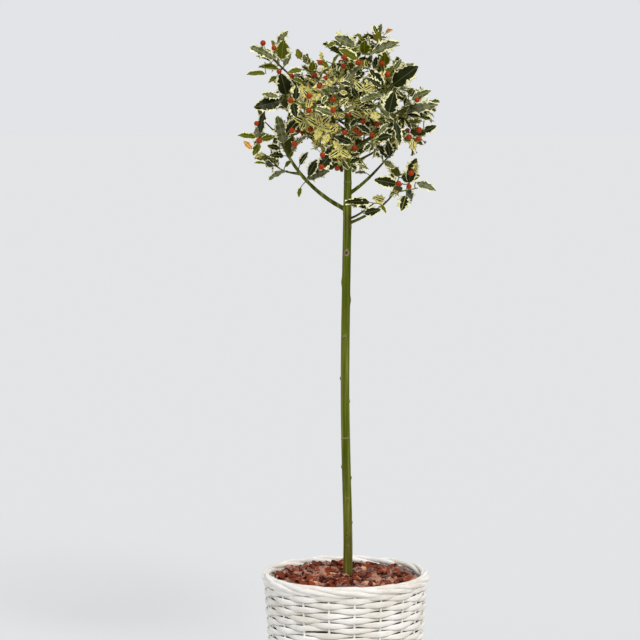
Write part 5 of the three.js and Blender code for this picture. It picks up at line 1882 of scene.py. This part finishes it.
# Colours of a blade's faces: margin, marbling, centre, rib and back, strip by strip
def bladeSlots(kind, rows, draw):
    values = leafValues
    centre, marble, margin, rib = [leafSlots["holly_" + part] for part in leafKinds[kind][:4]]
    slots = np.full((rows, 7), centre)
    for row in range(rows):
        # Rows of a sage leaf turn grey-green, varying its painted sky reflection
        if centre == leafSlots["holly_sage"] and draw() < values["greyShare"]:
            slots[row, 1:6] = leafSlots["holly_grey_green"]
    slots[:, (0, 6)] = margin
    marbled, creamy = values["marbleShares"]
    for strip in (1, 5):
        for row in range(rows):
            pick = draw()
            slots[row, strip] = marble if pick < marbled else margin if pick < creamy else centre
    slots[:, 3] = rib
    slots[:2] = rib
    # The back takes those underside colours, with their painted shade
    below = [leafSlots["holly_cream_underside"], leafSlots["holly_green_underside"]]
    return slots, np.where(slots == margin, *below)


def addLeafMesh(shape, leaf, kind, draw):
    values = leafValues
    marginShares, spines, spineLift, folds = leafKinds[kind][4:]
    places, edges, forwards, lifts = bladePlaces(spines)
    count = len(places)
    blade = (places - values["petioleShare"]) / (1 - values["petioleShare"])
    half = bladeWidth(blade) * values["halfWidthShare"] * leaf.length * leaf.broad
    half[:2] = values["petioleHalfWidth"]
    half[2] = max(half[2] * values["neckWidth"], values["petioleHalfWidth"])
    half[-1] = values["tipHalfWidth"]
    marginShare = between(draw, *marginShares)
    foldUp = between(draw, *folds)
    twist = between(draw, -values["twist"], values["twist"])
    drop = between(draw, *values["drops"])
    most = values["unevenness"]
    uneven = np.array([[between(draw, -most, most) for _ in range(count)] for _ in range(4)])
    columns = []
    for side, wobble, wander in ((-1, uneven[0], uneven[2]), (1, uneven[1], uneven[3])):
        edge = half * np.where(edges > 0, edges, 1) * (1 + wobble)
        edge[:3] = half[:3]
        limit = np.clip(1 - marginShare + values["marginWander"] * wander, *values["marginLimits"])
        inner = values["marbleStart"] + values["marbleWander"] * wobble
        inner = limit * np.clip(inner, *values["marbleLimits"])
        rib = np.minimum(values["ribHalfWidth"], half * values["ribMost"])
        column = [(edge, 1), (half * limit, 0), (half * inner, 0), (rib, 0)]
        columns += [(side * width, forward) for width, forward in (column if side < 0 else column[::-1])]
    wide = np.stack([width for width, forward in columns], axis=1)
    forward = np.array([forward for width, forward in columns]) * forwards[:, None]
    share = np.abs(wide) / np.maximum(half[:, None], values["leastHalfWidth"])
    along = (places[:, None] + forward) * leaf.length
    wave = lifts[:, None] * share ** 2 * spineLift * leaf.length
    lift = foldUp * np.abs(wide) + wave * np.where(np.arange(len(columns)) < len(columns) / 2, 1, -1)
    lift = lift - drop * blade[:, None].clip(0) ** 2 * leaf.length
    turn = twist * places[:, None]
    sideways = wide * np.cos(turn) - lift * np.sin(turn) * values["sag"]
    lift = lift + wide * np.sin(turn)
    across = unit(np.cross(leaf.along, leaf.up))
    spots = leaf.root + along[..., None] * leaf.along + sideways[..., None] * across
    spots = spots + lift[..., None] * leaf.up
    slots, under = bladeSlots(kind, count - 1, draw)
    faces = gridFaces(count, len(columns))
    shape.add(spots.reshape(-1, 3), faces, slots.ravel())
    thick = values["thickness"] * np.array((0, 1, 1, 1, 1, 1, 1, 0))[:, None]
    shape.add((spots[:, ::-1] - leaf.up * thick).reshape(-1, 3), faces, under[:, ::-1].ravel())


# Where each kind of leaf grows, in millimetres
kindValues = {
    "axis": 2,
    "youngLongest": 26,
    "youngFrom": 1200,
    "topFrom": 1195,
    "creamyMiddle": (-38, 1100),
    "creamyRadii": (72, 84),
    "creamyBack": 20,
    "shadedReach": 75,
}

# Where a leaf grows: the kinds that it may be, and up to which draw it is each
kindShares = {
    "youngTop": (("young", 0.25),),
    # Olive leaves at the top: painted backlight
    "top": (("olive", 0.35),),
    "creamy": (("inner", 0.5), ("pale", 0.8)),
    # The shaded middle gets more dark leaves and no grey or olive ones: painted shade
    "shaded": (("inner", 0.2), ("pale", 0.45), ("dark", 0.8), ("mature", 1)),
    "outer": (("mature", 0.52), ("dark", 0.7), ("grey", 0.9), ("olive", 1)),
}


# Cream leaves fill the shaded middle, most of all left of the trunk in front; olive ones, painted backlight,
# the top
def leafKind(leaf, draw):
    values = kindValues
    middle = leaf.root + leaf.along * (leaf.length / 2)
    away = math.hypot(middle[0] - values["axis"], middle[1])
    across = (middle[0] - values["creamyMiddle"][0]) / values["creamyRadii"][0]
    rise = (middle[2] - values["creamyMiddle"][1]) / values["creamyRadii"][1]
    places = {
        "youngTop": leaf.length < values["youngLongest"] and middle[2] > values["youngFrom"],
        "top": middle[2] > values["topFrom"],
        "creamy": math.hypot(across, rise) < 1 and middle[1] < values["creamyBack"],
        "shaded": away < values["shadedReach"],
        "outer": away >= values["shadedReach"],
    }
    pick = draw()
    rows = [row for name, inside in places.items() if inside for row in kindShares[name]]
    return next(kind for kind, share in rows if pick < share)


def makeLeaves():
    materials = leafMaterials()
    draw = seededRandom(leafValues["seed"])
    names = list(massRows)
    size = leafValues["massesAPiece"]
    for number in range(len(names) // size):
        batch = names[number * size:(number + 1) * size]
        shape = Shape()
        for leaf in [leaf for grown in crown if grown.mass.name in batch for leaf in grown.leaves]:
            addLeafMesh(shape, leaf, leafKind(leaf, draw), draw)
        nodes = ["foliage_" + name for name in batch]
        makePiece(f"holly_leaves_{number + 1}", shape, materials, nodes)
    shape = Shape()
    for leaf in shownLeaves:
        addLeafMesh(shape, leaf, leaf.kind, draw)
    makePiece("holly_leaves_front", shape, materials, [])


makeLeaves()


# Twigs: green when young, browner at the foot

twigValues = {
    "endShares": 41,
    "bearingReach": 4,
    "leastEnd": 0.1,
    "stemRings": 16,
    "stemSides": 8,
    "shootRings": 5,
    "shootSides": 6,
    "shootSunk": 1.2,
    "stalkSag": 3,
    "stalkInLeaf": 2,
    "stalkPieces": 5,
    "stalkRadii": (1.1, 0.7),
}


def twigMaterials():
    colours = {"young_holly_twig": "#656b22", "older_holly_twig": "#4b461a"}
    grain = {"scale": 600, "stretch": (1, 1, 0.3), "detail": 3}
    return grained(colours, 0.5, grain, {"distance": 0.0006, "strength": 0.5}, ior=1.2)


# How far a stem goes to bear the leaves and shoots that are left on it
def stemEnd(grown):
    values = twigValues
    shares = np.linspace(0, 1, values["endShares"])
    spots = np.array(grown.stem.curve.at(shares))
    borne = [leaf.root for leaf in grown.leaves] + [shoot.curve.point(0) for shoot in grown.shoots]
    borne += [leaf.twigSpot for leaf in shownLeaves] + [twig for berry, twig in shownBerries]
    near = norm(spots[:, None] - np.array(borne), axis=-1).min(axis=1) < values["bearingReach"]
    return shares[near].max() if near.any() else values["leastEnd"]


def makeTwigs():
    values = twigValues
    shape = Shape()
    for grown in crown:
        stem = grown.stem
        shares = np.linspace(0, stemEnd(grown), values["stemRings"])
        addTube(shape, stem.curve.at(shares), twigRadius(stem, shares), values["stemSides"], slot=1)
        for shoot in grown.shoots:
            shares = np.linspace(0, 1, values["shootRings"])
            spots = shoot.curve.at(shares)
            spots[0] = spots[0] - shoot.curve.tangent(0) * values["shootSunk"]
            addTube(shape, spots, twigRadius(shoot, shares), values["shootSides"])
    pieces = values["stalkPieces"]
    for leaf in shownLeaves:
        bend = (leaf.twigSpot + leaf.root) / 2 - leaf.along * values["stalkSag"]
        stalk = bentCurve(leaf.twigSpot, bend, leaf.root + leaf.along * values["stalkInLeaf"])
        radii = np.linspace(*values["stalkRadii"], pieces + 1)
        addTube(shape, stalk.points(pieces), radii, values["shootSides"])
    makePiece("holly_twigs", shape, twigMaterials(), [])


makeTwigs()


# Berries: glossy orange-red, each on a thin dark stalk and with a dark dot at its far end

berryValues = {
    "radius": 5.0,
    "rings": 9,
    "sides": 14,
    "stalkRadius": 0.5,
    "stalkLength": 7,
    "dotRadius": 0.8,
    "sideChance": 0.45,
    "crownMiddle": (2, 0, 1110),
    "leastBack": 12,
    "leafRoom": 4.2,
    "sizes": (0.9, 1.06),
    "tallness": 0.97,
    "dotAt": 0.93,
    "dotLength": 0.5,
    "dotSides": 6,
    "stalkRises": (-1, 3),
    "stalkAt": 0.8,
    "stalkPieces": 6,
    "stalkSides": 5,
    "footShares": (0.3, 0.95),
    "lifts": (-0.5, 0.4),
    "swing": 0.5,
    "stalkShares": (0.5, 1.6),
    "leastBackward": 0.3,
    "apart": 2.4,
    "seed": 55,
}


def addBerry(shape, middle, twig, draw):
    values = berryValues
    radius = values["radius"] * between(draw, *values["sizes"])
    away = unit(middle - twig)
    rings = values["rings"]
    angles = np.pi * (np.arange(rings) + 0.5) / rings
    spots = [middle - away * radius * math.cos(angle) * values["tallness"] for angle in angles]
    addTube(shape, spots, radius * np.sin(angles), values["sides"], slot=0)
    tip = middle + away * radius * values["dotAt"]
    addTube(shape, [tip, tip + away * values["dotLength"]], values["dotRadius"], values["dotSides"], slot=1)
    bend = (middle + twig) / 2 + up * between(draw, *values["stalkRises"])
    stalk = bentCurve(twig, bend, middle - away * radius * values["stalkAt"])
    addTube(shape, stalk.points(values["stalkPieces"]), values["stalkRadius"], values["stalkSides"], slot=1)


# Ripe berry skin, and the brown stalk and dot
def berryMaterials():
    skin = grained(
        {"ripe_holly_berry_skin": "#983203"}, 0.14, {"scale": 300, "detail": 2},
        {"distance": 0.0004, "strength": 0.2}, ior=1.24)
    stalk = grained(
        {"berry_stalk": "#3d2a17"}, 0.6, {"scale": 900, "detail": 2}, {"distance": 0.0003, "strength": 0.4})
    return skin + stalk


# Berries on the side that the photograph doesn't show, outside the leaves and clear of each other
def backBerries(draw):
    values = berryValues
    swing = values["swing"]
    berries = []
    for grown in crown:
        leaves = np.array([leaf.spots for leaf in grown.leaves] or [np.zeros((7, 3))]).reshape(-1, 3)
        for twig in [grown.stem, *grown.shoots] * 2:
            root = twig.curve.point(between(draw, *values["footShares"]))
            away = unit(root - vector(values["crownMiddle"])) + up * between(draw, *values["lifts"])
            away[0] += between(draw, -swing, swing)
            reach = values["radius"] + values["stalkLength"] * between(draw, *values["stalkShares"])
            middle = root + unit(away) * reach
            others = np.array([berry for berry, foot in berries + shownBerries])
            if draw() < values["sideChance"] and middle[1] > values["leastBack"] \
                    and away[1] > values["leastBackward"] and inSpace(middle[None], grown.mass) \
                    and norm(leaves - middle, axis=-1).min() > values["leafRoom"] \
                    and norm(others - middle, axis=-1).min() > values["apart"] * values["radius"]:
                berries.append((middle, root))
    return berries


def makeBerries():
    draw = seededRandom(berryValues["seed"])
    shape = Shape()
    for middle, twig in shownBerries:
        addBerry(shape, middle, twig, draw)
    back = backBerries(draw)
    for middle, twig in back:
        addBerry(shape, middle, twig, draw)
    print(f"{len(back)} berries on the far side")
    makePiece("holly_berries", shape, berryMaterials(), [])


makeBerries()
print("crown made")

bpy.context.scene.view_layers[0].update()
